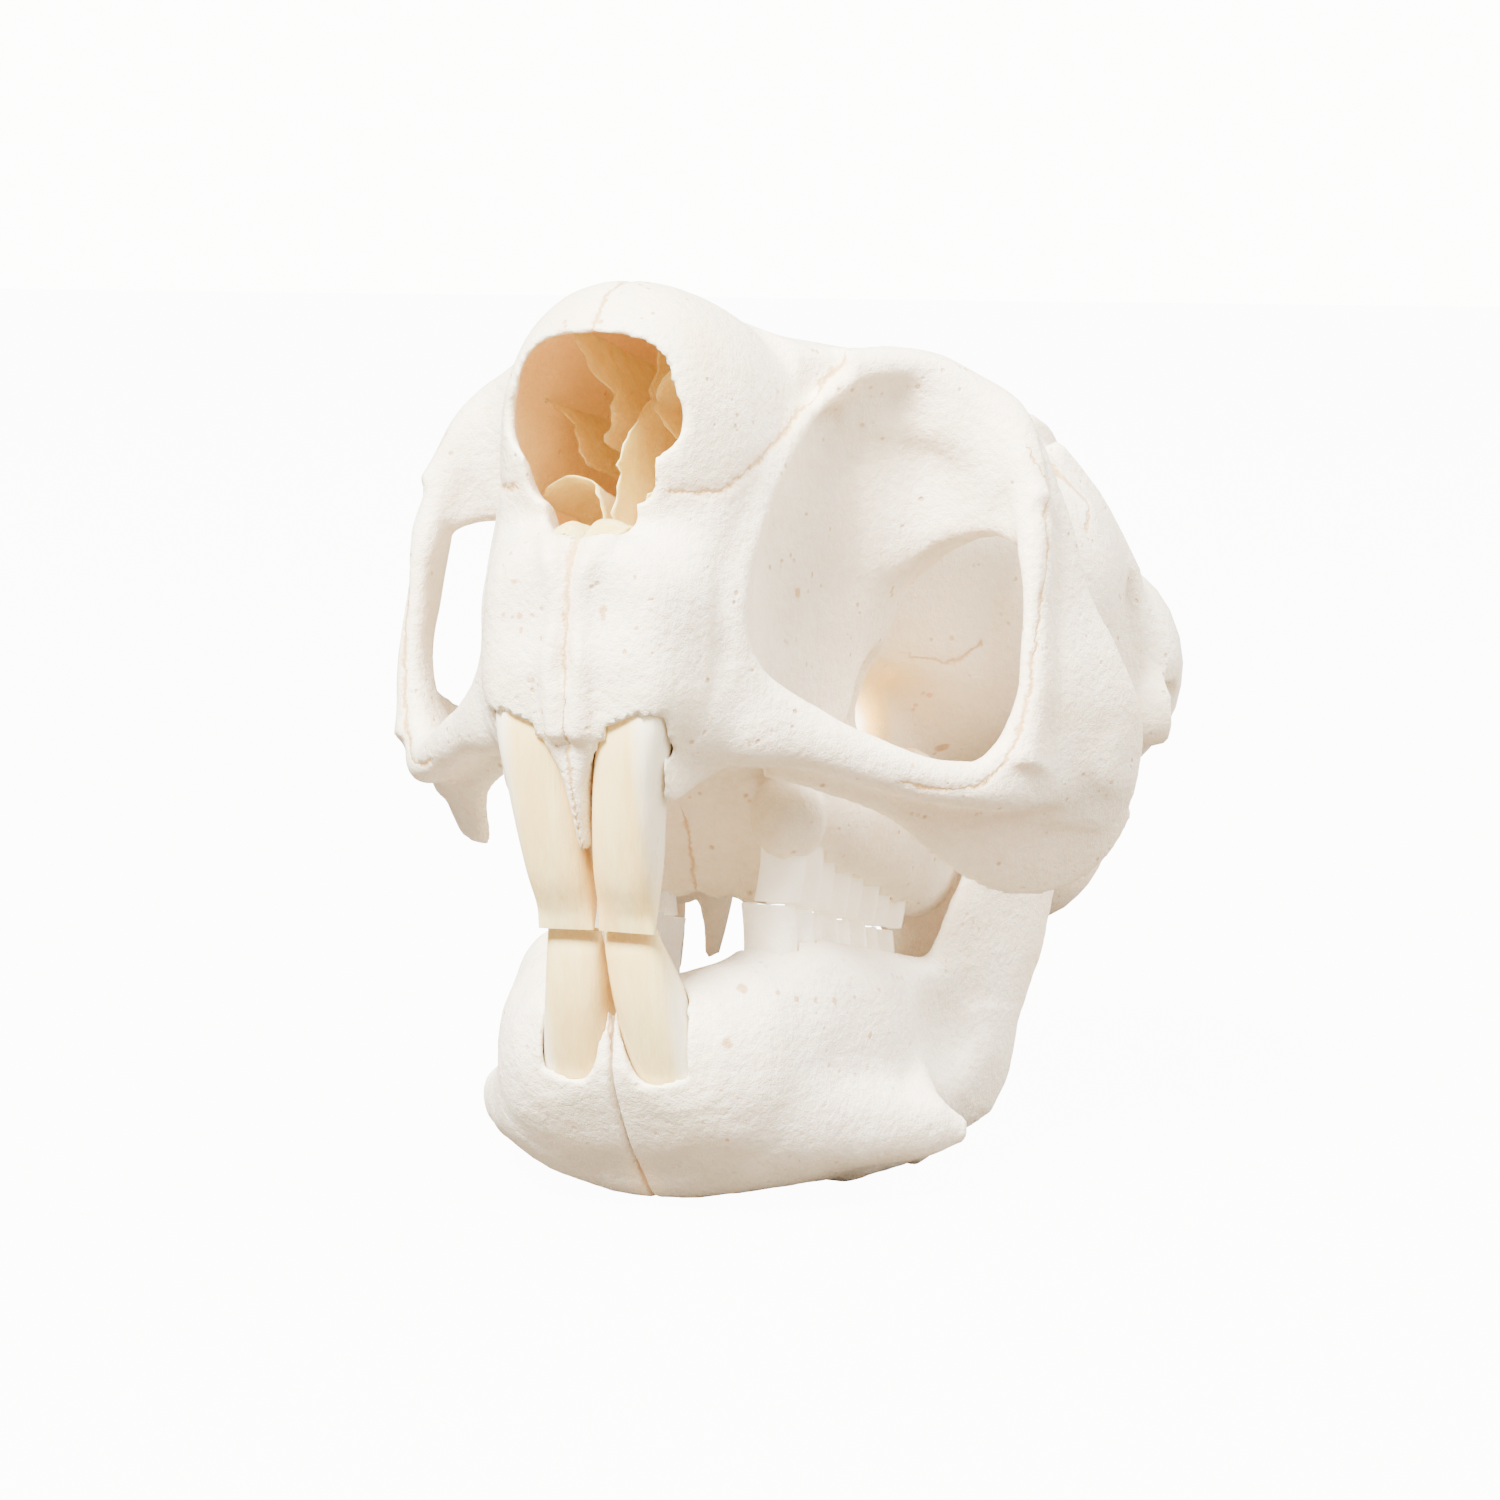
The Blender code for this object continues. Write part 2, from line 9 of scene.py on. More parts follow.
import bpy
import numpy as np
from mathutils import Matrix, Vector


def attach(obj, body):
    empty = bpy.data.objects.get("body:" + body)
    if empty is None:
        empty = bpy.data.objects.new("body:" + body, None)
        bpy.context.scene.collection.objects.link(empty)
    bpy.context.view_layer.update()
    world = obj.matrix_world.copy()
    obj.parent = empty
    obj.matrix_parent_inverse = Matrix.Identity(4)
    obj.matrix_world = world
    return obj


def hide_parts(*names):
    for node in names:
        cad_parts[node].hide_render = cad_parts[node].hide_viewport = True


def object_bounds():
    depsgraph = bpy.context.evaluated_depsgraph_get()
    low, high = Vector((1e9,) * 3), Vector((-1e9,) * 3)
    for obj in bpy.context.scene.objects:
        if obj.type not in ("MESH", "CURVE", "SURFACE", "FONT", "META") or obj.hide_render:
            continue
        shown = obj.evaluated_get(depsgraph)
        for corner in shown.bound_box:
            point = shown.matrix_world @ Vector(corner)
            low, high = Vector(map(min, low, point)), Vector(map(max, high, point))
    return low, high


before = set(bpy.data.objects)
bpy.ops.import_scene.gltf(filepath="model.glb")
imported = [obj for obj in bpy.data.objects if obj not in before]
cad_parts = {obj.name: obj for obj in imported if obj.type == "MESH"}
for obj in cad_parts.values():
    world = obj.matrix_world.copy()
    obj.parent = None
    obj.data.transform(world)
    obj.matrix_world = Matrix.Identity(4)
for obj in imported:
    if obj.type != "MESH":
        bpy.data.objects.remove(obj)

import openvdb
from mathutils import Matrix, Vector, noise

size_before = [list(corner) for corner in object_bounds()]


# Seat, camera and light
# The skull stands on a pale floor, nose up by the pitch of its seat. One wide soft light
# from above and in front, and pale surroundings, leave hardly any dark shadow.

REST_PITCH = math.radians(5.5)
SEAT_MIDDLE = 41.62
SEAT_DROP = -32.65
PITCH_TURN = Matrix((
    (1, 0, 0),
    (0, math.cos(REST_PITCH), math.sin(REST_PITCH)),
    (0, -math.sin(REST_PITCH), math.cos(REST_PITCH)),
))


def on_seat(points):
    """Turn skull millimetres into metres on the resting skull."""
    turned = (np.asarray(points, dtype=float) - (0, SEAT_MIDDLE, 0)) @ np.array(PITCH_TURN).T
    return (turned - (0, 0, SEAT_DROP * math.cos(REST_PITCH))) * 0.001


CAMERA_SPOT = (146.92, -334.89, 3.98)
CAMERA_ACROSS = (0.9276, 0.3714, 0.0400)
CAMERA_UP = (-0.0431, 0.0, 0.9991)
CAMERA_BACK = (0.3710, -0.9285, 0.0160)

camera_data = bpy.data.cameras.new("camera")
camera_data.lens = 127.2
camera_data.sensor_width = 36.0
camera_data.clip_start = 0.01
camera = bpy.data.objects.new("camera", camera_data)
bpy.context.scene.collection.objects.link(camera)
turn = PITCH_TURN @ Matrix((CAMERA_ACROSS, CAMERA_UP, CAMERA_BACK)).transposed()
camera.matrix_world = Matrix.Translation(on_seat([CAMERA_SPOT])[0]) @ turn.to_4x4()
bpy.context.scene.camera = camera

floor_mesh = bpy.data.meshes.new("floor")
floor_mesh.from_pydata([(-3, -3, 0), (3, -3, 0), (3, 3, 0), (-3, 3, 0)], [], [(0, 1, 2, 3)])
floor = bpy.data.objects.new("floor", floor_mesh)
bpy.context.scene.collection.objects.link(floor)
floor.location.z = size_before[0][2] - 0.0002
floor_paper = bpy.data.materials.new("floor_paper")
floor_paper.use_nodes = True
paper_nodes = floor_paper.node_tree.nodes
paper_shader = paper_nodes["Principled BSDF"]
paper_shader.inputs["Base Color"].default_value = (0.13, 0.105, 0.075, 1)
paper_shader.inputs["Roughness"].default_value = 0.9
paper_shader.inputs["Emission Color"].default_value = (1.0, 1.0, 1.0, 1)
floor_mesh.materials.append(floor_paper)


def seen_brightness(tree, socket, lighting, seen):
    """Strength that lights the skull by one amount and looks brighter to the camera."""
    rays = tree.nodes.new("ShaderNodeLightPath")
    strength = tree.nodes.new("ShaderNodeMapRange")
    strength.inputs["To Min"].default_value = lighting
    strength.inputs["To Max"].default_value = seen
    tree.links.new(rays.outputs["Is Camera Ray"], strength.inputs["Value"])
    tree.links.new(strength.outputs["Result"], socket)


seen_brightness(floor_paper.node_tree, paper_shader.inputs["Emission Strength"], 0.0, 12.0)

world = bpy.data.worlds.new("pale_room")
bpy.context.scene.world = world
world.use_nodes = True
sky = world.node_tree.nodes["Background"]
sky.inputs["Color"].default_value = (1.0, 0.985, 0.93, 1)
seen_brightness(world.node_tree, sky.inputs["Strength"], 0.33, 14.0)


def soft_lamp(name, spot, size, power, colour=(1, 1, 1)):
    data = bpy.data.lights.new(name, "AREA")
    data.shape = "RECTANGLE"
    data.size = size[0]
    data.size_y = size[1]
    data.energy = power
    data.color = colour
    lamp = bpy.data.objects.new(name, data)
    bpy.context.scene.collection.objects.link(lamp)
    lamp.location = spot
    aim = Vector((0, 0, 0.035)) - Vector(spot)
    lamp.rotation_euler = aim.to_track_quat("-Z", "Y").to_euler()
    return lamp


soft_lamp("lamp_above", (-0.11, -0.64, 0.77), (0.36, 0.32), 96, (1.0, 0.98, 0.925))
soft_lamp("lamp_right", (0.75, -0.30, 0.62), (0.5, 0.5), 13, (1.0, 0.96, 0.90))
soft_lamp("lamp_behind", (0.5, 0.6, 0.45), (0.7, 0.5), 24, (1.0, 0.95, 0.88))


# Cranium
# The upper skull: some twenty thin bones that have grown together along wavy seams.
# Boiled, degreased and bleached, so it is dry and off-white; where it is thinnest it is painted deep
# yellow for the light that comes through it.

STEP = 0.36
FAR = 3.2


def curve_rows(rows, steps):
    """Rows of numbers read along a smooth curve through every row."""
    rows = np.array(rows, dtype=float)
    ends = np.vstack([2 * rows[0] - rows[1], rows, 2 * rows[-1] - rows[-2]])
    samples = []
    for i in range(len(rows) - 1):
        p0, p1, p2, p3 = ends[i:i + 4]
        for t in np.arange(steps) / steps:
            a = 2 * p1
            b = (p2 - p0) * t
            c = (2 * p0 - 5 * p1 + 4 * p2 - p3) * t * t
            d = (3 * p1 - p0 - 3 * p2 + p3) * t ** 3
            samples.append(0.5 * (a + b + c + d))
    samples.append(rows[-1])
    return np.array(samples)


def rounded_ring(centre, u, v, squareness, count):
    """Rounded rectangle round centre with half axes u and v."""
    angle = 2 * np.pi * np.arange(count) / count
    c, s = np.cos(angle), np.sin(angle)
    cx = np.sign(c) * np.abs(c) ** (2 / squareness)
    sy = np.sign(s) * np.abs(s) ** (2 / squareness)
    return centre + cx[:, None] * u + sy[:, None] * v


def skin_over(rings):
    """Closed skin through rings of equal count: its points and its triangles."""
    count = len(rings[0])
    points = np.vstack(rings + [np.mean(rings[0], axis=0)[None], np.mean(rings[-1], axis=0)[None]])
    here = np.arange(count)
    after = (here + 1) % count
    triangles = []
    for level in range(len(rings) - 1):
        low, high = level * count, (level + 1) * count
        triangles.append(np.stack([low + here, low + after, high + after], axis=1))
        triangles.append(np.stack([low + here, high + after, high + here], axis=1))
    last = (len(rings) - 1) * count
    first_cap, last_cap = len(points) - 2, len(points) - 1
    triangles.append(np.stack([after, here, np.full(count, first_cap)], axis=1))
    triangles.append(np.stack([last + here, last + after, np.full(count, last_cap)], axis=1))
    triangles = np.vstack(triangles)
    a, b, c = (points[triangles[:, i]] for i in range(3))
    if np.einsum("ij,ij->i", a, np.cross(b, c)).sum() < 0:
        triangles = triangles[:, ::-1]
    return points, triangles


def trunk(stations, squareness=2.6, steps=6, count=48):
    """Body along y: each station is y, x centre, half width, low z and high z."""
    rings = []
    for y, x, w, low, high in curve_rows(stations, steps):
        centre = np.array([x, y, (low + high) / 2])
        across = np.array([w, 0, 0])
        up = np.array([0, 0, (high - low) / 2])
        rings.append(rounded_ring(centre, across, up, squareness, count))
    return skin_over(rings)


def limb(stations, side_axis, squareness=2.2, steps=6, count=32):
    """Body along a path: each station is x, y, z, half size across and along side_axis."""
    rows = curve_rows(stations, steps)
    along = np.gradient(rows[:, :3], axis=0)
    rings = []
    for row, step in zip(rows, along):
        t = step / np.linalg.norm(step)
        v = np.array(side_axis, dtype=float)
        v -= t * v.dot(t)
        v /= np.linalg.norm(v)
        u = np.cross(v, t)
        rings.append(rounded_ring(row[:3], u * row[3], v * row[4], squareness, count))
    return skin_over(rings)


def lump(centre, radii, turn_degrees=0.0):
    """Rounded mass, turned about z."""
    rings = []
    a = math.radians(turn_degrees)
    spin = np.array([[math.cos(a), math.sin(a), 0], [-math.sin(a), math.cos(a), 0], [0, 0, 1]])
    for polar in np.linspace(0.03, math.pi - 0.03, 24):
        r, z = math.sin(polar), math.cos(polar)
        flat = np.array([[r * math.cos(q), r * math.sin(q), z] for q in np.arange(36) * np.pi / 18])
        rings.append((flat * radii) @ spin + centre)
    return skin_over(rings)


def punch(outline, front, back):
    """Straight body along y, with an outline of x and z."""
    around = curve_rows(list(outline) + [outline[0]], 6)[:-1]
    return skin_over([np.column_stack([around[:, 0], np.full(len(around), y), around[:, 1]])
                      for y in np.linspace(front, back, 6)])


class Clay:
    """Distances to a surface on a regular lattice, which forms are added to and cut from."""

    def __init__(self, low, high, step):
        self.low = np.array(low, dtype=float)
        self.step = step
        self.count = np.ceil((np.array(high) - self.low) / step).astype(int) + 1
        self.field = np.full(self.count, FAR, dtype=np.float32)

    def around(self, low, high):
        """Lattice corners of the part of the volume between two points."""
        start = np.floor((np.array(low) - self.low) / self.step).astype(int)
        stop = np.ceil((np.array(high) - self.low) / self.step).astype(int) + 1
        return np.clip(start, 0, self.count), np.clip(stop, 0, self.count)

    def window(self, start, stop):
        return tuple(slice(a, b) for a, b in zip(start, stop))

    def places(self, start, stop):
        """Places of the lattice points between two corners."""
        axes = [self.low[i] + self.step * np.arange(start[i], stop[i]) for i in range(3)]
        return np.stack(np.meshgrid(*axes, indexing="ij"), axis=-1).astype(np.float32)

    def measure(self, body):
        """Distances to a closed skin, near it."""
        points, triangles = body
        start, stop = self.around(points.min(axis=0) - FAR, points.max(axis=0) + FAR)
        if (stop <= start).any():
            return start, start, None
        local = ((points - self.low) / self.step).astype(np.float32)
        lattice = openvdb.FloatGrid.createLevelSetFromPolygons(
            local, triangles=triangles.astype(np.uint32), halfWidth=FAR / self.step)
        near = np.empty(stop - start, dtype=np.float32)
        lattice.copyToArray(near, ijk=tuple(int(v) for v in start))
        return start, stop, near * self.step

    def blend_in(self, start, stop, near, blend):
        if near is None:
            return
        part = self.field[self.window(start, stop)]
        mix = np.clip(0.5 + 0.5 * (part - near) / blend, 0, 1)
        part[...] = part + (near - part) * mix - blend * mix * (1 - mix)

    def blend_out(self, start, stop, near, blend):
        if near is None:
            return
        part = self.field[self.window(start, stop)]
        mix = np.clip(0.5 - 0.5 * (part + near) / blend, 0, 1)
        part[...] = part + (-near - part) * mix + blend * mix * (1 - mix)

    def add(self, body, blend=0.8):
        self.blend_in(*self.measure(body), blend)

    def cut(self, body, blend=0.4):
        self.blend_out(*self.measure(body), blend)

    def along(self, path, radius):
        """Distances to a round cord whose radius changes along its path."""
        path = np.array(path, dtype=np.float32)
        radius = np.broadcast_to(np.array(radius, dtype=np.float32), len(path))
        reach = radius.max() + FAR * 0.6
        start, stop = self.around(path.min(axis=0) - reach, path.max(axis=0) + reach)
        if (stop <= start).any():
            return start, start, None
        spots = self.places(start, stop)
        near = np.full(spots.shape[:3], FAR, dtype=np.float32)
        for i in range(len(path) - 1):
            line = path[i + 1] - path[i]
            t = np.clip(((spots - path[i]) @ line) / max(line @ line, 1e-9), 0, 1)
            gap = np.linalg.norm(spots - path[i] - t[..., None] * line, axis=-1)
            near = np.minimum(near, gap - (radius[i] + (radius[i + 1] - radius[i]) * t))
        return start, stop, near

    def add_cord(self, path, radius, blend=0.8):
        self.blend_in(*self.along(path, radius), blend)

    def cut_cord(self, path, radius, blend=0.4):
        self.blend_out(*self.along(path, radius), blend)

    def mirrored(self):
        """The whole volume, from the half on the left that starts at x = 0."""
        whole = Clay((-self.low[0] - self.step * (self.count[0] - 1), *self.low[1:]),
                     (0, 0, 0), self.step)
        whole.low[0] = -self.step * (self.count[0] - 1)
        whole.field = np.concatenate([self.field[:0:-1], self.field], axis=0)
        whole.count = np.array(whole.field.shape)
        return whole

    def read(self, points):
        """Distances at any places, read between the lattice points."""
        local = (np.asarray(points) - self.low) / self.step
        local = np.clip(local, 0, self.count - 1.001)
        base = local.astype(int)
        part = local - base
        value = 0
        for corner in range(8):
            bits = np.array([corner & 1, corner >> 1 & 1, corner >> 2 & 1])
            weight = np.prod(np.where(bits, part, 1 - part), axis=1)
            i, j, k = (base + bits).T
            value = value + weight * self.field[i, j, k]
        return value

    def surface(self):
        """Points and triangles of the surface, largest body only."""
        lattice = openvdb.FloatGrid()
        lattice.background = FAR
        lattice.copyFromArray(np.ascontiguousarray(self.field))
        points, quads = lattice.convertToQuads(isovalue=0.0)
        quads = np.asarray(quads, dtype=np.int64)
        label = np.arange(len(points))
        while True:
            lowest = label[quads].min(axis=1)
            before = label.copy()
            for k in range(4):
                np.minimum.at(label, quads[:, k], lowest)
            label = label[label]
            if (label == before).all():
                break
        names, sizes = np.unique(label[quads[:, 0]], return_counts=True)
        quads = quads[label[quads[:, 0]] == names[sizes.argmax()]]
        used, packed = np.unique(quads, return_inverse=True)
        return points[used].astype(float) * self.step + self.low, packed.reshape(-1, 4)


half = Clay((0, -4, -22), (31, 88, 33), STEP)

# Snout: upright boxy lower part, domed nasals above
half.add(trunk([
    (1.6, 0, 7.2, -2.6, 12.6), (4.0, 0, 8.7, -3.8, 17.0), (8.0, 0, 9.3, -3.4, 20.0),
    (14.0, 0, 9.2, -3.2, 21.0), (20.0, 0, 9.2, -4.2, 22.0), (26.0, 0, 10.4, -1.0, 24.0),
    (32.0, 0, 11.8, 3.0, 24.0), (44.0, 0, 12.5, 2.0, 22.0), (52.0, 0, 14.0, 0.0, 20.0),
], squareness=3.6))
half.add(trunk([
    (0.2, 0, 5.0, 15.0, 26.8), (1.4, 0, 6.7, 13.0, 28.2), (3.2, 0, 7.9, 9.0, 29.6),
    (5.5, 0, 8.9, 5.0, 30.4), (8.5, 0, 9.5, 3.5, 30.6), (14.0, 0, 9.8, 3.5, 30.1),
    (20.0, 0, 9.9, 3.5, 28.7), (26.0, 0, 10.8, 4.0, 27.8), (34.0, 0, 12.0, 4.0, 27.0),
    (44.0, 0, 13.0, 3.0, 26.2), (52.0, 0, 14.0, 0.0, 25.0),
], squareness=2.25), blend=1.0)
half.add(trunk([
    (14.0, 0, 9.0, -3.2, 8.0), (22.0, 0, 9.0, -4.6, 8.0), (32.0, 0, 8.6, -7.0, 8.0),
    (42.0, 0, 7.6, -7.5, 6.0), (54.0, 0, 8.0, -7.0, 4.0),
], squareness=3.2), blend=1.2)

# Front of the premaxillae: two flat plates, a tongue between the gnawing teeth and a thin
# wall down the outer side of each tooth
half.add(trunk([
    (-2.2, 0, 3.6, 5.0, 10.4), (-1.6, 0, 5.4, 1.4, 11.4), (-0.8, 0, 6.6, -1.4, 12.2),
    (0.8, 0, 7.6, -2.0, 12.9), (3.0, 0, 8.3, -2.4, 14.0),
], squareness=3.4), blend=1.2)
half.add(limb([
    (0.0, 0.8, 1.6, 5.6, 2.1), (0.0, 0.8, -1.0, 4.4, 1.9), (0.0, 0.9, -2.4, 2.2, 1.8),
    (0.0, 1.2, -4.0, 1.0, 1.7), (0.0, 2.0, -6.4, 0.6, 1.5), (0.0, 3.0, -9.2, 0.3, 1.1),
], side_axis=(0, 1, 0)), blend=0.6)
half.add(trunk([
    (1.4, 5.95, 0.4, -3.4, 0.0), (3.2, 5.95, 0.45, -5.7, 0.0), (7.0, 6.2, 0.9, -4.4, 0.0),
    (12.0, 6.0, 1.6, -2.8, 0.0),
], squareness=3.0), blend=0.7)
half.add_cord(curve_rows([
    (2.0, -0.8, 12.6), (1.4, -1.9, 10.4), (1.2, -2.2, 8.0), (1.1, -2.2, 5.0), (1.0, -1.9, 2.0),
    (0.8, -1.4, -1.0),
], 4), 0.75, blend=0.9)
half.cut_cord(curve_rows([
    (0, -1.8, 13.4), (0, -2.9, 10.4), (0, -3.1, 8.0), (0, -3.1, 5.0), (0, -2.9, 2.6),
], 4), 0.75, blend=0.5)
half.cut(lump((3.6, -3.0, 7.2), (2.6, 1.1, 3.4)), blend=1.2)

# Roof: broad flat frontals behind the nasals, then the parietals
half.add(trunk([
    (18.0, 0, 8.5, 22.5, 28.2), (22.0, 0, 11.0, 22.5, 27.9), (27.0, 0, 14.6, 22.4, 27.6),
    (33.0, 0, 16.4, 22.0, 27.3), (41.0, 0, 15.6, 20.5, 26.8), (50.0, 0, 14.0, 18.5, 26.0),
    (60.0, 0, 12.5, 15.0, 24.8), (69.0, 0, 10.0, 12.0, 22.8),
], squareness=2.8), blend=1.2)

# Braincase with the swollen ear capsules at its back corners
half.add(lump((0, 58, 10.5), (20, 20, 15.5)), blend=1.5)
half.add(lump((12.4, 70.6, 5.0), (8.9, 9.6, 9.4)), blend=0.9)
half.add(lump((10.8, 65.0, -6.2), (7.2, 10.2, 9.2), turn_degrees=12), blend=0.9)
half.add(lump((0, 74, 6), (15, 8.5, 13)), blend=1.5)
half.add(lump((5.6, 81, -2.5), (2.4, 3.4, 3.4)), blend=0.8)
half.add_cord(curve_rows([
    (10.4, 54.0, 24.4), (11.8, 57.8, 23.9), (12.4, 61.0, 23.2), (12.0, 65.0, 22.2),
], 5), curve_rows([(0.4,), (0.8,), (0.7,), (0.5,)], 5)[:, 0], blend=1.0)
half.add_cord(curve_rows([
    (14.6, 58.0, 21.6), (16.2, 61.3, 18.8), (17.4, 64.0, 15.8), (18.4, 66.4, 12.6), (18.8, 67.0, 10.0),
], 5), 0.75, blend=0.5)
half.add_cord(curve_rows([
    (13.4, 53.0, 22.6), (15.6, 55.4, 20.0), (16.4, 56.2, 18.6), (17.8, 57.0, 16.8), (17.9, 55.2, 15.0),
], 5), 0.5, blend=0.7)
half.add_cord(curve_rows([(18.2, 65.6, 12.8), (17.4, 61.0, 12.6), (16.6, 57.6, 12.9)], 5), 0.6, blend=0.5)
half.cut(lump((21.0, 64.2, 6.8), (2.3, 3.4, 4.6)), blend=2.4)
half.add(limb([
    (14, 64, 0.5, 3.4, 3.4), (18, 67, 1.4, 3.1, 3.1), (20.4, 69, 1.9, 2.9, 2.9),
], side_axis=(0, 0, 1)), blend=1.0)
half.add(trunk([
    (40, 0, 6.5, -8, 0), (52, 0, 6, -8, 0), (64, 0, 6, -8, 0), (78, 0, 6.5, -6.5, 0),
], squareness=3.0), blend=1.0)

# Bone over the cheek teeth, the palate between and the pterygoids behind
half.add(trunk([
    (19.6, 8.4, 1.6, -8.4, -1.6), (21.4, 8.5, 3.0, -9.8, -0.5), (25.0, 8.9, 3.8, -10.9, -0.5),
    (30.0, 9.2, 4.0, -12.0, -0.5), (36.0, 9.5, 4.0, -13.6, -0.5), (41.0, 9.7, 3.8, -14.6, -2.0),
    (45.0, 9.6, 3.0, -14.2, -4.0), (48.6, 9.6, 1.8, -12.4, -6.4),
], squareness=2.4), blend=0.9)
half.add(lump((8.7, 18.9, -6.8), (2.7, 2.7, 3.2)), blend=0.35)
half.add(trunk([
    (18.5, 0, 5.0, -5.0, -2.0), (21.0, 0, 5.7, -8.0, -2.0), (23.2, 0, 6.2, -12.1, -4.0),
    (25.0, 0, 6.2, -12.4, -9.4), (30.0, 0, 6.2, -12.4, -11.2),
], squareness=3.6), blend=1.0)
half.add_cord(curve_rows([
    (0.0, 23.4, -12.2), (1.6, 23.8, -12.9), (2.7, 23.6, -12.3), (4.0, 24.0, -13.2), (5.0, 24.2, -12.4),
    (6.4, 24.4, -12.6),
], 5), 0.4, blend=0.5)
half.add(limb([
    (5.6, 39.0, -9.6, 0.9, 3.0), (6.4, 43.0, -12.0, 0.7, 3.0), (7.2, 45.4, -15.0, 0.6, 2.2),
    (7.9, 46.4, -18.6, 0.45, 0.9),
], side_axis=(0, 1, 0)), blend=0.6)
half.add(limb([
    (6.4, 42.0, -7.0, 1.0, 4.0), (6.8, 50.0, -8.0, 0.9, 4.0), (8.5, 58.0, -9.0, 1.0, 3.5),
], side_axis=(0, 0, 1)), blend=0.8)

# Plate in front of the eye, above the wide opening that the chewing muscle runs through
half.add(limb([
    (7.0, 22.4, 11.6, 2.0, 12.4), (9.4, 26.8, 12.6, 1.5, 11.4), (12.6, 30.2, 16.6, 1.2, 8.4),
    (16.0, 30.6, 19.2, 1.1, 6.2), (19.2, 29.6, 18.8, 1.1, 5.2), (21.8, 27.9, 16.8, 1.0, 3.4), (23.6, 26.6, 15.2, 0.9, 2.4),
], side_axis=(0, 0, 1), squareness=3.0), blend=1.6)

half.add(limb([
    (9.6, 22.0, 22.2, 1.5, 2.0), (12.8, 25.6, 23.4, 1.8, 2.4), (16.0, 27.2, 23.2, 1.8, 2.6),
    (19.2, 28.2, 21.4, 1.5, 2.4), (21.6, 28.0, 18.6, 1.0, 1.8),
], side_axis=(0, 0, 1)), blend=2.6)
half.add(limb([
    (10.4, 26.6, 16.4, 1.2, 5.0), (13.2, 29.0, 17.2, 1.5, 5.8), (16.4, 29.8, 17.4, 1.4, 5.0),
    (19.4, 29.4, 16.8, 1.1, 3.8),
], side_axis=(0, 0, 1)), blend=3.0)

# Rim from the frontal down to the cheek bone, outside the opening
half.add(limb([
    (10.4, 21.4, 25.4, 1.6, 1.8), (14.8, 26.4, 25.8, 1.5, 1.9), (19.4, 28.7, 23.2, 1.4, 1.8),
    (22.6, 28.0, 18.8, 1.3, 1.7), (24.0, 26.4, 13.5, 1.2, 1.6), (24.2, 26.0, 8.0, 1.2, 1.6),
    (24.4, 25.8, 2.5, 1.4, 1.8), (23.6, 25.4, -2.0, 1.9, 2.2),
], side_axis=(0, 1, 0)), blend=0.9)

# Ridge round the front of the muscle's bed on the snout, and the bed hollowed behind it
half.add_cord(curve_rows([
    (12.0, 12.4, 0.6), (9.8, 7.6, 3.2), (9.0, 5.9, 7.6), (9.1, 8.2, 13.6), (9.6, 12.0, 18.2),
    (10.2, 17.4, 22.0), (11.0, 23.0, 25.0),
], 4), 0.8, blend=1.8)
half.cut_cord(curve_rows([
    (13.6, 13.0, 5.0), (13.0, 13.4, 10.5), (13.0, 15.6, 15.0), (13.3, 19.4, 19.4),
    (14.6, 23.4, 22.0),
], 4), curve_rows([(4.2,), (4.7,), (4.5,), (3.9,), (2.2,)], 4)[:, 0], blend=2.0)

# Strut from the snout back to the cheek bone, and the thin flange that hangs behind it
half.add(limb([
    (7.0, 6.5, 1.0, 2.4, 3.8), (9.6, 9.0, -0.2, 2.3, 3.0), (13.0, 12.4, -1.2, 1.9, 2.1),
    (17.0, 16.6, -2.9, 1.7, 1.7), (20.2, 20.6, -3.9, 1.6, 1.6), (22.8, 25.0, -3.6, 1.7, 2.2),
    (24.6, 29.4, -2.6, 1.5, 2.8), (25.8, 33.0, -2.2, 0.9, 2.2), (26.4, 36.0, -2.0, 0.4, 1.2),
], side_axis=(0, 0, 1)), blend=2.0)
half.add(limb([
    (9.4, 12.4, -3.0, 0.7, 0.8), (13.0, 15.4, -4.0, 0.6, 1.0), (17.0, 20.2, -5.3, 0.55, 1.8),
    (20.2, 26.0, -7.1, 0.55, 3.5), (23.0, 31.6, -8.0, 0.55, 4.6), (25.6, 35.4, -6.8, 0.55, 4.6),
    (27.6, 38.2, -4.2, 0.55, 2.6),
], side_axis=(0.0, 1.0, -0.95), squareness=2.6), blend=0.9)

# Cheek bone: plate behind the rim, and the arch back to the ear region
half.add(limb([
    (20.6, 29.2, 22.6, 0.4, 0.6), (22.7, 29.2, 19.4, 0.6, 1.2), (24.1, 29.4, 15.4, 0.7, 1.9), (25.2, 29.8, 9.6, 0.8, 2.9), (26.8, 31.2, 3.0, 0.9, 4.7),
    (26.6, 33.2, -2.5, 0.95, 5.4), (25.0, 33.8, -6.0, 0.9, 3.8),
], side_axis=(0.42, 1, 0)), blend=1.5)
half.add(limb([
    (26.6, 31.4, -1.4, 0.4, 1.2), (27.5, 34.6, -1.6, 1.0, 2.6), (26.8, 40.0, -2.2, 1.0, 2.1), (24.6, 46.0, 0.0, 1.0, 2.1),
    (21.4, 51.0, 2.6, 1.4, 2.5), (17.0, 54.0, 5.0, 2.0, 3.2),
], side_axis=(0, 0, 1)), blend=1.0)
half.cut_cord(curve_rows([
    (23.4, 28.4, 20.6), (25.0, 27.8, 15.0), (25.9, 27.4, 11.0), (26.1, 27.3, 6.0),
    (26.4, 27.5, 2.0),
], 5), curve_rows([(0.05,), (0.2,), (0.3,), (0.3,), (0.05,)], 5)[:, 0], blend=0.8)

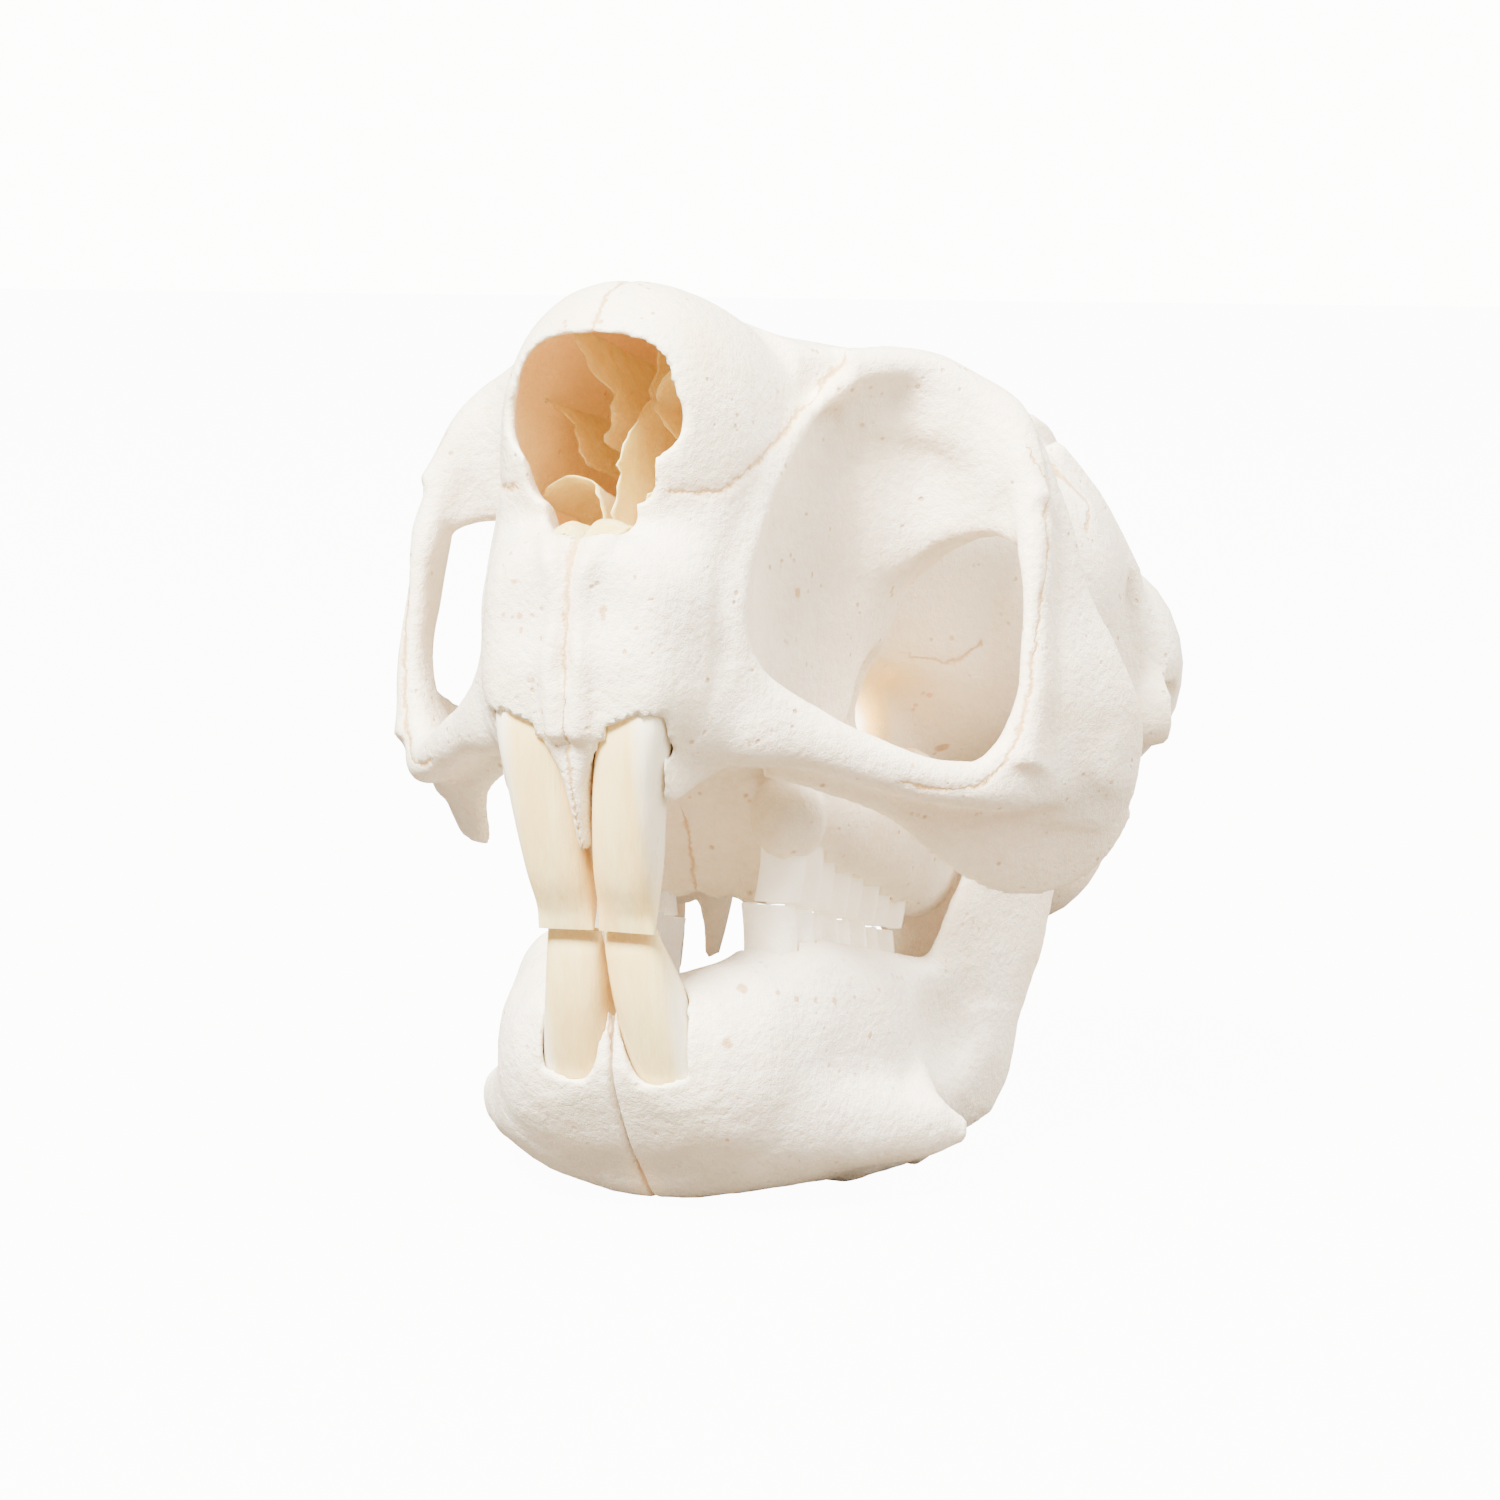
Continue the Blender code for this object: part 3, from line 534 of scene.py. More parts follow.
# Hollow of the eye socket behind the plate, with the gap that leads through to the nose
half.cut(trunk([
    (33.6, 13.4, 3.2, -2.0, 9.5), (36.6, 13.6, 5.6, -4.0, 13.0), (41.0, 15.0, 5.0, -3.0, 14.5),
    (46.5, 17.0, 3.2, 0.0, 13.5),
], squareness=2.2), blend=1.2)
half.cut(punch((
    (9.8, -1.6), (9.8, 2.6), (10.9, 7.0), (12.6, 10.2), (15.0, 12.6), (18.0, 13.8),
    (20.6, 13.6), (22.6, 12.2), (23.5, 9.8), (23.6, 6.0), (23.2, 2.2), (22.0, -1.0),
    (19.6, -2.6), (15.4, -2.6),
), 22.4, 36.0), blend=1.0)
half.cut(lump((10.4, 32.0, 0.8), (3.2, 3.6, 4.8)), blend=0.6)
half.cut(lump((8.8, 37.4, 0.6), (3.0, 3.2, 4.2)), blend=0.5)

# Air space of the snout, brain space, throat and ear tube
nose_space = trunk([
    (-4.0, 0, 4.6, 16.8, 25.6), (1.2, 0, 5.9, 16.2, 26.6), (3.6, 0, 7.1, 14.4, 28.2),
    (8.0, 0, 7.5, 10.0, 29.0), (13.0, 0, 6.9, 6.5, 28.6), (22.0, 0, 6.9, 3.0, 26.8),
    (30.0, 0, 6.6, 4.0, 25.2),
], squareness=2.8)
half.cut(nose_space, blend=0.3)
half.cut(trunk([
    (-4.0, 0, 8.1, 17.2, 24.2), (0.8, 0, 6.8, 17.6, 23.8), (3.0, 0, 6.0, 17.6, 23.2),
], squareness=2.6), blend=0.3)
half.cut(trunk([
    (-4.0, 0, 3.3, 12.4, 17.0), (2.0, 0, 3.4, 12.4, 17.0), (8.0, 0, 4.6, 11.0, 17.0),
], squareness=4.0), blend=0.3)
half.cut(trunk([
    (-4.0, 0, 4.7, 14.4, 19.0), (2.0, 0, 4.8, 14.4, 19.0), (8.0, 0, 5.6, 12.0, 19.0),
], squareness=3.0), blend=0.3)
half.cut(lump((0, 58, 10.5), (17.8, 17.8, 13.3)))
half.cut(trunk([(66, 0, 4.2, -0.6, 8.6), (90, 0, 4.2, -3.6, 5.6)], squareness=2.2))
half.cut(trunk([
    (29.6, 0, 3.2, -20, -4), (38.0, 0, 4.6, -20, -2.6), (52.0, 0, 4.2, -20, -3.6),
], squareness=3.0))
half.cut(limb([
    (15, 64.6, 0.8, 1.7, 1.7), (19, 67.8, 1.7, 1.8, 1.8), (25, 73, 3.2, 2.0, 2.0),
], side_axis=(0, 0, 1)))

# Sockets: every tooth stands in its own, a hair wider than the tooth
SOCKET_ROOM = 0.12
CHEEK_PITCH = 5.1


def upper_incisor(room=0.0):
    """Curved gnawing tooth, flat in front, cut to a slanting chisel edge."""
    return limb([
        (4.1, 8.0, 10.0, 1.8 + room, 1.9 + room), (4.1, 6.0, 7.2, 1.95 + room, 2.1 + room),
        (4.1, 3.4, 4.0, 2.15 + room, 2.4 + room), (3.95, 1.75, 0.0, 2.35 + room, 2.5 + room),
        (3.2, 2.7, -5.0, 2.4 + room, 2.35 + room), (2.62, 4.3, -10.0, 2.35 + room, 2.05 + room),
        (2.35, 5.2, -13.0, 2.15 + room, 1.3 + room), (2.3, 5.25, -15.0, 2.1 + room, 0.4 + room),
    ], side_axis=(0, 1, 0), squareness=3.0, steps=8, count=56)


def lower_incisor(room=0.0):
    return limb([
        (2.15, 6.3, -14.9, 2.0 + room, 0.4 + room), (2.25, 7.0, -16.4, 2.1 + room, 1.2 + room),
        (2.6, 8.8, -19.4, 2.35 + room, 2.1 + room), (3.3, 11.0, -23.6, 2.5 + room, 2.2 + room),
        (4.1, 13.1, -26.4, 2.45 + room, 2.2 + room), (5.3, 17.0, -28.0, 2.0 + room, 2.1 + room),
        (6.8, 21.0, -29.0, 1.8 + room, 1.9 + room),
    ], side_axis=(0, 1, 0), squareness=3.0, steps=8, count=56)


def bared_upper():
    """Room in front of an upper incisor, up to the curved rim of its socket."""
    return limb([
        (2.6, 0.6, -14.0, 2.45, 3.0), (3.0, -0.6, -7.4, 2.5, 3.0), (3.5, -1.2, -4.6, 2.2, 2.4),
        (4.3, -1.6, -3.0, 1.8, 2.0), (5.1, -1.8, -1.8, 1.3, 1.8), (5.7, -1.8, -0.8, 0.6, 1.6),
    ], side_axis=(0, 1, 0), squareness=2.3, steps=6)


def bared_lower():
    return limb([
        (2.3, 2.4, -16.0, 2.25, 3.8), (2.7, 4.2, -20.5, 2.45, 4.0), (3.25, 6.0, -23.0, 2.55, 4.2),
        (3.55, 7.2, -24.6, 2.45, 4.2), (3.7, 7.8, -25.6, 2.1, 4.2), (3.75, 8.1, -26.2, 1.5, 4.2),
        (3.8, 8.3, -26.5, 0.5, 4.0),
    ], side_axis=(0, 1, 0), squareness=2.4, steps=6)


def grinding_level(y):
    """Level at which upper and lower cheek teeth meet."""
    return -12.9 - 0.13 * (y - 19.0)


def cheek_tooth(order, upper, room=0.0):
    """Column of two lobes with a deep fold between; order counts from the front."""
    y = 20.6 + CHEEK_PITCH * order
    x = (8.0 if upper else 7.3) + 0.32 * order
    half_width = 1.85 if upper or order else 2.2
    side = -1 if upper else 1
    lobe_gap = CHEEK_PITCH / 2
    root = grinding_level(y) - side * (6.8 if upper else 7.2)
    angle = 2 * np.pi * (np.arange(72) + 0.5) / 72
    c, s = np.cos(angle), np.sin(angle)
    fold = 1 - 0.34 * np.exp(-(s / 0.16) ** 2)
    px = x + (half_width + room) * np.sign(c) * np.abs(c) ** 0.5 * fold
    py = y + (2.42 + room) * np.sign(s) * np.abs(s) ** 0.7
    px = px + 0.22 * np.sign(s) * (c > 0)
    level = grinding_level(y + lobe_gap / 2 * np.sign(s)) - side * (0.06 if upper else 0.2)
    rings = []
    for rise in np.linspace(0, 1, 14):
        z = root + (level - root) * rise
        bow = 0.35 * math.sin(math.pi * rise)
        rings.append(np.stack([px + bow, py, z], axis=1))
    if not room:
        # Worn face: a raised rim of enamel round softer, hollowed dentine
        for inset, depth in ((0.93, 0.03), (0.86, 0.0), (0.78, -0.22), (0.5, -0.3)):
            flat = rings[13].copy()
            flat[:, 0] = x + (flat[:, 0] - x) * inset
            flat[:, 1] = y + (flat[:, 1] - y) * inset
            flat[:, 2] = level + side * depth
            rings.append(flat)
    return skin_over(rings)


half.cut(upper_incisor(SOCKET_ROOM), blend=0.12)
half.cut(bared_upper(), blend=0.15)
for order in range(4):
    half.cut(cheek_tooth(order, True, SOCKET_ROOM), blend=0.15)

skull_clay = half.mirrored()
skull_clay.cut(trunk([
    (20.0, -21.0, 6.0, -16.0, -9.8), (30.0, -23.0, 6.0, -16.0, -10.2), (40.0, -25.0, 5.0, -16.0, -9.2),
], squareness=6.0), blend=0.3)
skull_clay.cut(lump((24.4, 33.8, -12.6), (1.1, 1.6, 1.2)), blend=0.2)
skull_clay.cut(lump((22.6, 32.4, -12.9), (0.6, 1.4, 0.6)), blend=0.2)
air = Clay((-12, -4, 0), (12, 36, 33), 0.6)
air.add(nose_space)

# Seams between the bones of the left side and along the middle
SEAMS = {
    "nasal_middle": [(0, 0.4, 26.4), (0, 0.9, 27.5), (0, 1.9, 28.5), (0, 3.4, 29.6), (0, 7.0, 30.6),
                     (0, 14.7, 30.0), (0, 24.0, 28.0), (0, 34.0, 27.2)],
    "nasal_edge": [(5.9, 1.6, 15.7), (7.1, 2.8, 15.7), (8.3, 4.4, 15.9), (9.2, 6.6, 17.2),
                   (9.6, 9.3, 18.7), (9.8, 12.5, 20.6), (9.7, 15.8, 22.4), (9.8, 19.2, 24.2),
                   (10.8, 21.0, 26.0), (11.6, 24.0, 27.2), (10.0, 30.0, 27.8), (5.0, 34.0, 27.6),
                   (0.0, 35.5, 27.3)],
    "premaxilla_middle": [(0, 0.2, 12.8), (0, -1.4, 11.6), (0, -2.3, 9.0), (0, -1.8, 3.0),
                          (0, -1.2, -1.0), (0, -0.5, -4.0), (0, 1.6, -8.0), (0, 2.4, -9.6)],
    "rim_and_cheek": [(23.3, 26.6, 20.0), (24.2, 26.8, 17.6), (24.8, 26.2, 15.4), (25.2, 25.8, 12.6),
                      (25.1, 25.0, 9.0), (24.9, 24.4, 5.0), (24.5, 24.0, 1.4), (23.8, 23.0, -1.8),
                      (22.4, 21.2, -3.8), (20.4, 18.4, -4.3), (18.6, 16.0, -4.0)],
    "cheek_and_ear": [(28.0, 38.0, 0.4), (27.8, 41.0, -1.8), (26.4, 44.6, -2.2)],
    "frontal_back": [(0, 45.0, 26.6), (6.0, 45.8, 26.5), (12.0, 46.2, 25.4), (14.9, 47.2, 21.0),
                     (15.2, 48.4, 14.0)],
    "temple": [(13.0, 52.0, 23.0), (16.0, 55.0, 19.6), (17.6, 56.6, 17.2), (18.6, 53.4, 14.4),
               (17.0, 50.0, 11.0)],
    "orbit_wall": [(9.0, 35.0, 7.4), (9.8, 39.0, 5.4), (11.3, 43.5, 4.8), (12.6, 44.9, 5.4),
                   (13.6, 46.0, 6.6)],
    "palate_middle": [(0, 20.0, -4.8), (0, 20.9, -7.6), (0, 21.9, -9.6), (0, 23.0, -12.0)],
}


def seam_readings(points, normals, seams, reach=2.4):
    """How far each place lies to one side of its nearest seam, and how near that seam is."""
    offset = np.full(len(points), reach)
    near = np.full(len(points), reach)
    for name, rows in seams.items():
        for side in ((1, -1) if abs(rows[1][0]) > 0.01 or abs(rows[-1][0]) > 0.01 else (1,)):
            line = curve_rows(rows, 8) * (side, 1, 1)
            low, high = line.min(axis=0) - reach, line.max(axis=0) + reach
            picked = np.where(((points > low) & (points < high)).all(axis=1))[0]
            for i in range(len(line) - 1):
                step = line[i + 1] - line[i]
                close = picked[np.abs(points[picked] - line[i]).max(axis=1) < reach + 1.5]
                if not len(close):
                    continue
                away = points[close] - line[i]
                t = np.clip(away @ step / (step @ step), 0, 1)
                away -= t[:, None] * step
                gap = np.linalg.norm(away, axis=1)
                across = np.cross(step / np.linalg.norm(step), normals[close])
                better = gap < near[close]
                chosen = close[better]
                near[chosen] = gap[better]
                signed = np.einsum("ij,ij->i", away[better], across[better])
                offset[chosen] = np.sign(signed) * gap[better]
    return offset, near


def clay_mesh(name, clay, most_triangles, keep_fine=None):
    """Mesh of a clay volume in skull millimetres, thinned out where the surface is plain."""
    points, quads = clay.surface()
    mesh = bpy.data.meshes.new(name + "_fine")
    mesh.vertices.add(len(points))
    mesh.vertices.foreach_set("co", points.astype(np.float32).ravel())
    mesh.loops.add(len(quads) * 4)
    mesh.loops.foreach_set("vertex_index", quads.astype(np.int32).ravel())
    mesh.polygons.add(len(quads))
    mesh.polygons.foreach_set("loop_start", np.arange(0, len(quads) * 4, 4, dtype=np.int32))
    mesh.update(calc_edges=True)
    mesh.validate()
    carrier = bpy.data.objects.new(name + "_fine", mesh)
    bpy.context.scene.collection.objects.link(carrier)
    thin = carrier.modifiers.new("thin_out", "DECIMATE")
    thin.ratio = min(1.0, most_triangles / (2 * len(quads)))
    thin.use_collapse_triangulate = True
    if keep_fine is not None:
        weight = keep_fine(points)
        group = carrier.vertex_groups.new(name="plain")
        for value in np.unique(weight):
            group.add(np.where(weight == value)[0].tolist(), float(value), "REPLACE")
        thin.vertex_group = "plain"
        thin.vertex_group_factor = 1.0
    graph = bpy.context.evaluated_depsgraph_get()
    made = bpy.data.meshes.new_from_object(carrier.evaluated_get(graph))
    bpy.data.objects.remove(carrier)
    made.name = name
    return made


def mesh_points(mesh):
    points = np.empty(len(mesh.vertices) * 3, dtype=np.float32)
    mesh.vertices.foreach_get("co", points)
    return points.reshape(-1, 3).astype(float)


def clay_normals(clay, points):
    """Outward directions, read from the volume."""
    reach = clay.step * 1.2
    parts = [clay.read(points + reach * axis) - clay.read(points - reach * axis)
             for axis in np.eye(3)]
    slope = np.stack(parts, axis=1)
    return slope / np.maximum(np.linalg.norm(slope, axis=1, keepdims=True), 1e-6)


def uneven(points, size, height, seed=0.0):
    """Gentle swell of a grown surface."""
    return np.array([noise.noise(Vector(p) / size + Vector((seed, 0, 0))) for p in points]) * height


def note(mesh, name, values):
    layer = mesh.attributes.new(name, "FLOAT", "POINT")
    layer.data.foreach_set("value", np.ascontiguousarray(values, dtype=np.float32))


def thinness(clay, points, normals):
    """1 where the bone is half a millimetre thick, 0 from about two."""
    deepest = np.zeros(len(points))
    for depth in (0.4, 0.8, 1.2, 1.6):
        deepest = np.minimum(deepest, clay.read(points - normals * depth))
    return np.clip((1.0 + deepest) / 0.7, 0, 1)


def blot(points, centre, size):
    return np.exp(-(((points - centre) / size) ** 2).sum(axis=1))


def settle(mesh, points):
    """Write skull millimetres into a mesh as metres on the seat."""
    mesh.vertices.foreach_set("co", on_seat(points).astype(np.float32).ravel())
    mesh.update()
    mesh.shade_smooth()


def place_piece(name, mesh, material, nodes):
    piece = bpy.data.objects.new(name, mesh)
    bpy.context.scene.collection.objects.link(piece)
    mesh.materials.clear()
    mesh.materials.append(material)
    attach(piece, "root")
    if nodes:
        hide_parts(*nodes)
    return piece


def seen_less(points):
    """Weight of the thinning: little on the face, more inside and behind."""
    behind = points[:, 1] > 46
    return np.where(behind, 1.0, 0.35)


skull_mesh = clay_mesh("cranium_bone", skull_clay, 195000, seen_less)
spots = mesh_points(skull_mesh)
facing = clay_normals(skull_clay, spots)
offset, near = seam_readings(spots, facing, SEAMS)
spots += facing * (uneven(spots, 3.5, 0.10) + uneven(spots, 1.3, 0.035, 7.0))[:, None]
spots -= facing * (0.16 * np.exp(-(near / 0.32) ** 2))[:, None]
note(skull_mesh, "seam_offset", offset)
note(skull_mesh, "seam_near", near)
note(skull_mesh, "thin", thinness(skull_clay, spots, facing))
# Painted light: the inside of the nose and the gap at the back of the eye socket are tinted deep orange
# and made to glow, brightest in the middle of the gap, for light coming through thin bone and through the
# gap from behind
inside_nose = np.exp(-(np.minimum(air.read(spots), 2.5) / 0.5) ** 2)
inside_nose *= np.clip((spots[:, 1] - 1.5) / 4, 0, 1) * (np.abs(spots[:, 0]) < 11)
folded = np.abs(spots) * (1, 1, 0) + spots * (0, 0, 1)
gap_light = blot(folded, (8.4, 39.6, 1.0), (3.4, 3.0, 4.4))
note(skull_mesh, "painted_light_through", np.clip(inside_nose + 1.2 * gap_light, 0, 1))
note(skull_mesh, "glow", blot(folded, (6.6, 37.8, 0.0), (2.0, 2.6, 2.6)))
# Painted shade and glow: tan colour and a faint emission on the palate, the wall of the eye socket, the
# pterygoids, the ear capsule, inside the muscle opening, along the nasal edge and down the middle of the
# snout's front, where the bone lies in shade or light comes through it
painted_shade_and_glow = 1.0 * blot(folded, (0, 25, -8), (7, 7, 6)) + 0.8 * blot(folded, (9.5, 44, 5), (5, 8, 9))
painted_shade_and_glow += 1.6 * blot(folded, (6.6, 45, -15), (4, 5, 5)) + 1.3 * blot(folded, (10, 45.5, -8.5), (4, 4, 4))
edge = curve_rows(SEAMS["nasal_edge"], 3)[:24]
for place in edge:
    painted_shade_and_glow = np.maximum(painted_shade_and_glow, 0.9 * blot(folded, place, (0.55, 0.55, 0.55)))
painted_shade_and_glow += 0.8 * blot(folded, (10, 44, 3), (5, 7, 5)) + 1.6 * blot(folded, (15.5, 60, -9.5), (5, 8, 5))
painted_shade_and_glow += 0.7 * blot(folded, (14.4, 31.4, 9.6), (3.2, 1.6, 3.6))
painted_shade_and_glow += 1.2 * np.exp(-(spots[:, 0] / 0.35) ** 2 - ((spots[:, 2] - 7) / 5.5) ** 4) * (spots[:, 1] < 0.5)
note(skull_mesh, "painted_shade_and_glow", np.clip(painted_shade_and_glow, 0, 1.5))
note(skull_mesh, "porous", blot(folded, (4.0, -1.2, 6.0), (2.6, 2.4, 4.4)))
settle(skull_mesh, spots)


# Finish of the bone: chalky cream with a faint grey mottle, tan in the seams, dark tan in the pits that is
# partly painted shade, and painted light and shade in thin and hidden places
def new_group(name, inputs, outputs):
    """Shader node group with its named sockets; returns it with its two end nodes."""
    group = bpy.data.node_groups.new(name, "ShaderNodeTree")
    for label, kind, value in inputs:
        socket = group.interface.new_socket(label, in_out="INPUT", socket_type=kind)
        socket.default_value = value
    for label, kind in outputs:
        group.interface.new_socket(label, in_out="OUTPUT", socket_type=kind)
    start = group.nodes.new("NodeGroupInput")
    end = group.nodes.new("NodeGroupOutput")
    return group, start, end


def add_node(tree, kind, settings=None, values=None, links=None):
    """One shader node with its settings, its fixed inputs and the sockets that feed it."""
    node = tree.nodes.new(kind)
    for key, value in (settings or {}).items():
        setattr(node, key, value)
    for key, value in (values or {}).items():
        node.inputs[key].default_value = value
    for key, socket in (links or {}).items():
        tree.links.new(socket, node.inputs[key])
    return node


def reading(tree, name):
    return add_node(tree, "ShaderNodeAttribute", {"attribute_name": name}).outputs["Fac"]


def ramp(tree, socket, low, high, start=0.0, end=1.0):
    """Smooth change from start to end as the value goes from low to high."""
    node = add_node(tree, "ShaderNodeMapRange", {"interpolation_type": "SMOOTHSTEP"},
                    {"From Min": low, "From Max": high, "To Min": start, "To Max": end},
                    {"Value": socket})
    return node.outputs["Result"]


def arith(tree, operation, first, second):
    node = tree.nodes.new("ShaderNodeMath")
    node.operation = operation
    for socket, value in zip(node.inputs, (first, second)):
        if hasattr(value, "is_linked"):
            tree.links.new(value, socket)
        else:
            socket.default_value = value
    return node.outputs[0]


def tint(tree, under, over, amount, blend="MIX"):
    """Colour under, changed towards colour over by amount."""
    node = tree.nodes.new("ShaderNodeMix")
    node.data_type = "RGBA"
    node.blend_type = blend
    for key, value in ((0, amount), (6, under), (7, over)):
        if hasattr(value, "is_linked"):
            tree.links.new(value, node.inputs[key])
        elif key:
            node.inputs[key].default_value = (*value, 1.0)
        else:
            node.inputs[key].default_value = value
    return node.outputs[2]


def millimetres(tree):
    """Object coordinates counted in millimetres."""
    spot = add_node(tree, "ShaderNodeTexCoord").outputs["Object"]
    scaled = add_node(tree, "ShaderNodeVectorMath", {"operation": "SCALE"}, {"Scale": 1000.0},
                      {0: spot})
    return scaled.outputs[0]


def grain(tree, spot, scale, detail=3.0, roughness=0.55):
    return add_node(tree, "ShaderNodeTexNoise", None,
                    {"Scale": scale, "Detail": detail, "Roughness": roughness},
                    {"Vector": spot}).outputs["Fac"]


# Pits and small holes for vessels: place in skull millimetres and radius
PITS = (
    (-4.1, -1.1, 9.1, 0.18), (-4.9, -1.1, 6.8, 0.16), (-4.3, -1.2, 6.6, 0.14), (-3.6, -1.2, 6.8, 0.2),
    (-2.7, -1.2, 6.8, 0.15), (-3.5, -1.2, 5.7, 0.18), (-1.6, -1.7, 5.2, 0.14), (-2.4, -1.3, 2.5, 0.16),
    (-1.8, -1.5, 2.1, 0.13), (-1.2, -1.5, 0.2, 0.15), (-1.1, -1.1, -0.9, 0.13), (-0.9, -0.9, -2.0, 0.12),
    (1.7, -1.4, 0.3, 0.14), (1.5, -1.3, -0.5, 0.12), (2.5, -1.3, 7.4, 0.3), (2.55, -1.3, 6.9, 0.2),
    (4.6, -1.0, 9.6, 0.14), (5.6, -0.8, 8.2, 0.12), (4.9, -1.0, 6.2, 0.12), (4.2, -1.1, 4.6, 0.13),
    (9.1, 17.9, 9.3, 0.34), (8.5, 16.0, 11.5, 0.15), (8.8, 17.0, 11.9, 0.15), (9.4, 19.9, 10.6, 0.18),
    (9.6, 21.3, 9.9, 0.16), (9.2, 19.6, 9.5, 0.14), (9.3, 18.8, 15.0, 0.14), (10.2, 21.4, 14.0, 0.13),
    (9.1, 49.8, -1.7, 0.5), (9.9, 44.3, 2.3, 0.2), (3.7, 2.2, 28.0, 0.13), (3.1, 1.5, 27.6, 0.13),
    (7.9, 7.1, 25.2, 0.13), (7.9, 8.8, 25.4, 0.11), (18.9, 16.4, -2.6, 0.16), (10.3, 6.8, -1.4, 0.14),
)
JAW_PITS = (
    (8.1, 12.7, -18.9, 0.36), (8.1, 10.3, -22.6, 0.34), (9.8, 14.8, -19.3, 0.2), (10.8, 16.2, -19.7, 0.22),
    (11.7, 17.8, -19.9, 0.2), (12.5, 19.6, -19.8, 0.24), (13.2, 21.9, -19.6, 0.18),
    (13.9, 25.2, -19.2, 0.2), (14.0, 23.2, -22.3, 0.2), (7.5, 12.7, -29.4, 0.14),
)


def settled_on(clay, rows):
    """Places moved on to the surface of the bone."""
    places = np.array(rows, dtype=float)[:, :3]
    for _ in range(4):
        places = places - clay_normals(clay, places) * clay.read(places)[:, None]
    return on_seat(places) * 1000


def pit_group(name, rows, places):
    """Node group that is 1 in the named pits and 0 elsewhere."""
    t, start, end = new_group(name, [("Spot", "NodeSocketVector", (0, 0, 0))],
                              [("Pit", "NodeSocketFloat")])
    spot = start.outputs["Spot"]
    shaky = add_node(t, "ShaderNodeTexNoise", None, {"Scale": 1.7, "Detail": 2.0}, {"Vector": spot})
    shaky = add_node(t, "ShaderNodeVectorMath", {"operation": "SUBTRACT"}, {1: (0.5, 0.5, 0.5)},
                     {0: shaky.outputs["Color"]}).outputs[0]
    shaky = add_node(t, "ShaderNodeVectorMath", {"operation": "MULTIPLY_ADD"}, {1: (0.5, 0.5, 0.5)},
                     {0: shaky, 2: spot}).outputs[0]
    deepest = 0.0
    for row, place in zip(rows, places):
        gap = add_node(t, "ShaderNodeVectorMath", {"operation": "DISTANCE"},
                       {1: [float(v) for v in place]}, {0: shaky})
        pit = ramp(t, gap.outputs["Value"], 0.8 * row[3], 1.5 * row[3], 1.0, 0.0)
        deepest = arith(t, "MAXIMUM", deepest, pit)
    t.links.new(deepest, end.inputs["Pit"])
    return t


# Surface of bone, shared by skull and jaw: mottle, fine grain, pinprick pores, seams
bone_surface, bone_in, bone_out = new_group("bone_surface", [
    ("Seam Width", "NodeSocketFloat", 0.34),
    ("Pores", "NodeSocketFloat", 0.0),
    ("Pits", "NodeSocketFloat", 0.0),
], [
    ("Mottle", "NodeSocketFloat"),
    ("Blush", "NodeSocketFloat"),
    ("Seam", "NodeSocketFloat"),
    ("Pore", "NodeSocketFloat"),
    ("Height", "NodeSocketFloat"),
])
t = bone_surface
spot = millimetres(t)
broad = grain(t, spot, 0.16, 4.0, 0.6)
fine = grain(t, spot, 1.6, 3.0, 0.6)
tooth = grain(t, spot, 9.0, 1.0, 0.6)
wobble = arith(t, "MULTIPLY", arith(t, "SUBTRACT", grain(t, spot, 1.1, 2.0, 0.7), 0.5), 0.9)
wandering = arith(t, "ABSOLUTE", arith(t, "ADD", reading(t, "seam_offset"), wobble), 0.0)
thick_and_thin = arith(t, "MULTIPLY", bone_in.outputs["Seam Width"],
                       ramp(t, grain(t, spot, 0.5, 2.0), 0.25, 0.75, 0.35, 1.5))
line = add_node(t, "ShaderNodeMapRange", {"interpolation_type": "SMOOTHSTEP"},
                {"From Min": 0.0, "To Min": 1.0, "To Max": 0.0},
                {"Value": wandering, "From Max": thick_and_thin}).outputs["Result"]
seam = arith(t, "MULTIPLY", line, ramp(t, reading(t, "seam_near"), 0.5, 1.0, 1.0, 0.0))
cells = add_node(t, "ShaderNodeTexVoronoi", {"feature": "F1"}, {"Scale": 0.9, "Randomness": 1.0},
                 {"Vector": spot})
prick = ramp(t, cells.outputs["Distance"], 0.10, 0.24, 1.0, 0.0)
some = arith(t, "MAXIMUM", ramp(t, grain(t, spot, 0.45, 2.0), 0.52, 0.64), reading(t, "porous"))
blush = ramp(t, grain(t, spot, 0.3, 3.0, 0.6), 0.46, 0.66)
pore = arith(t, "MULTIPLY", arith(t, "MULTIPLY", prick, some), bone_in.outputs["Pores"])
height = arith(t, "MULTIPLY", fine, 0.34)
height = arith(t, "ADD", height, arith(t, "MULTIPLY", tooth, 0.09))
height = arith(t, "SUBTRACT", height, arith(t, "MULTIPLY", seam, 0.16))
height = arith(t, "SUBTRACT", height, arith(t, "MULTIPLY", pore, 0.3))
pore = arith(t, "MAXIMUM", pore, bone_in.outputs["Pits"])
mottle = arith(t, "ADD", arith(t, "MULTIPLY", broad, 0.6), arith(t, "MULTIPLY", fine, 0.4))
for name, socket in (("Mottle", mottle), ("Blush", blush), ("Seam", seam), ("Pore", pore),
                     ("Height", height)):
    t.links.new(socket, bone_out.inputs[name])


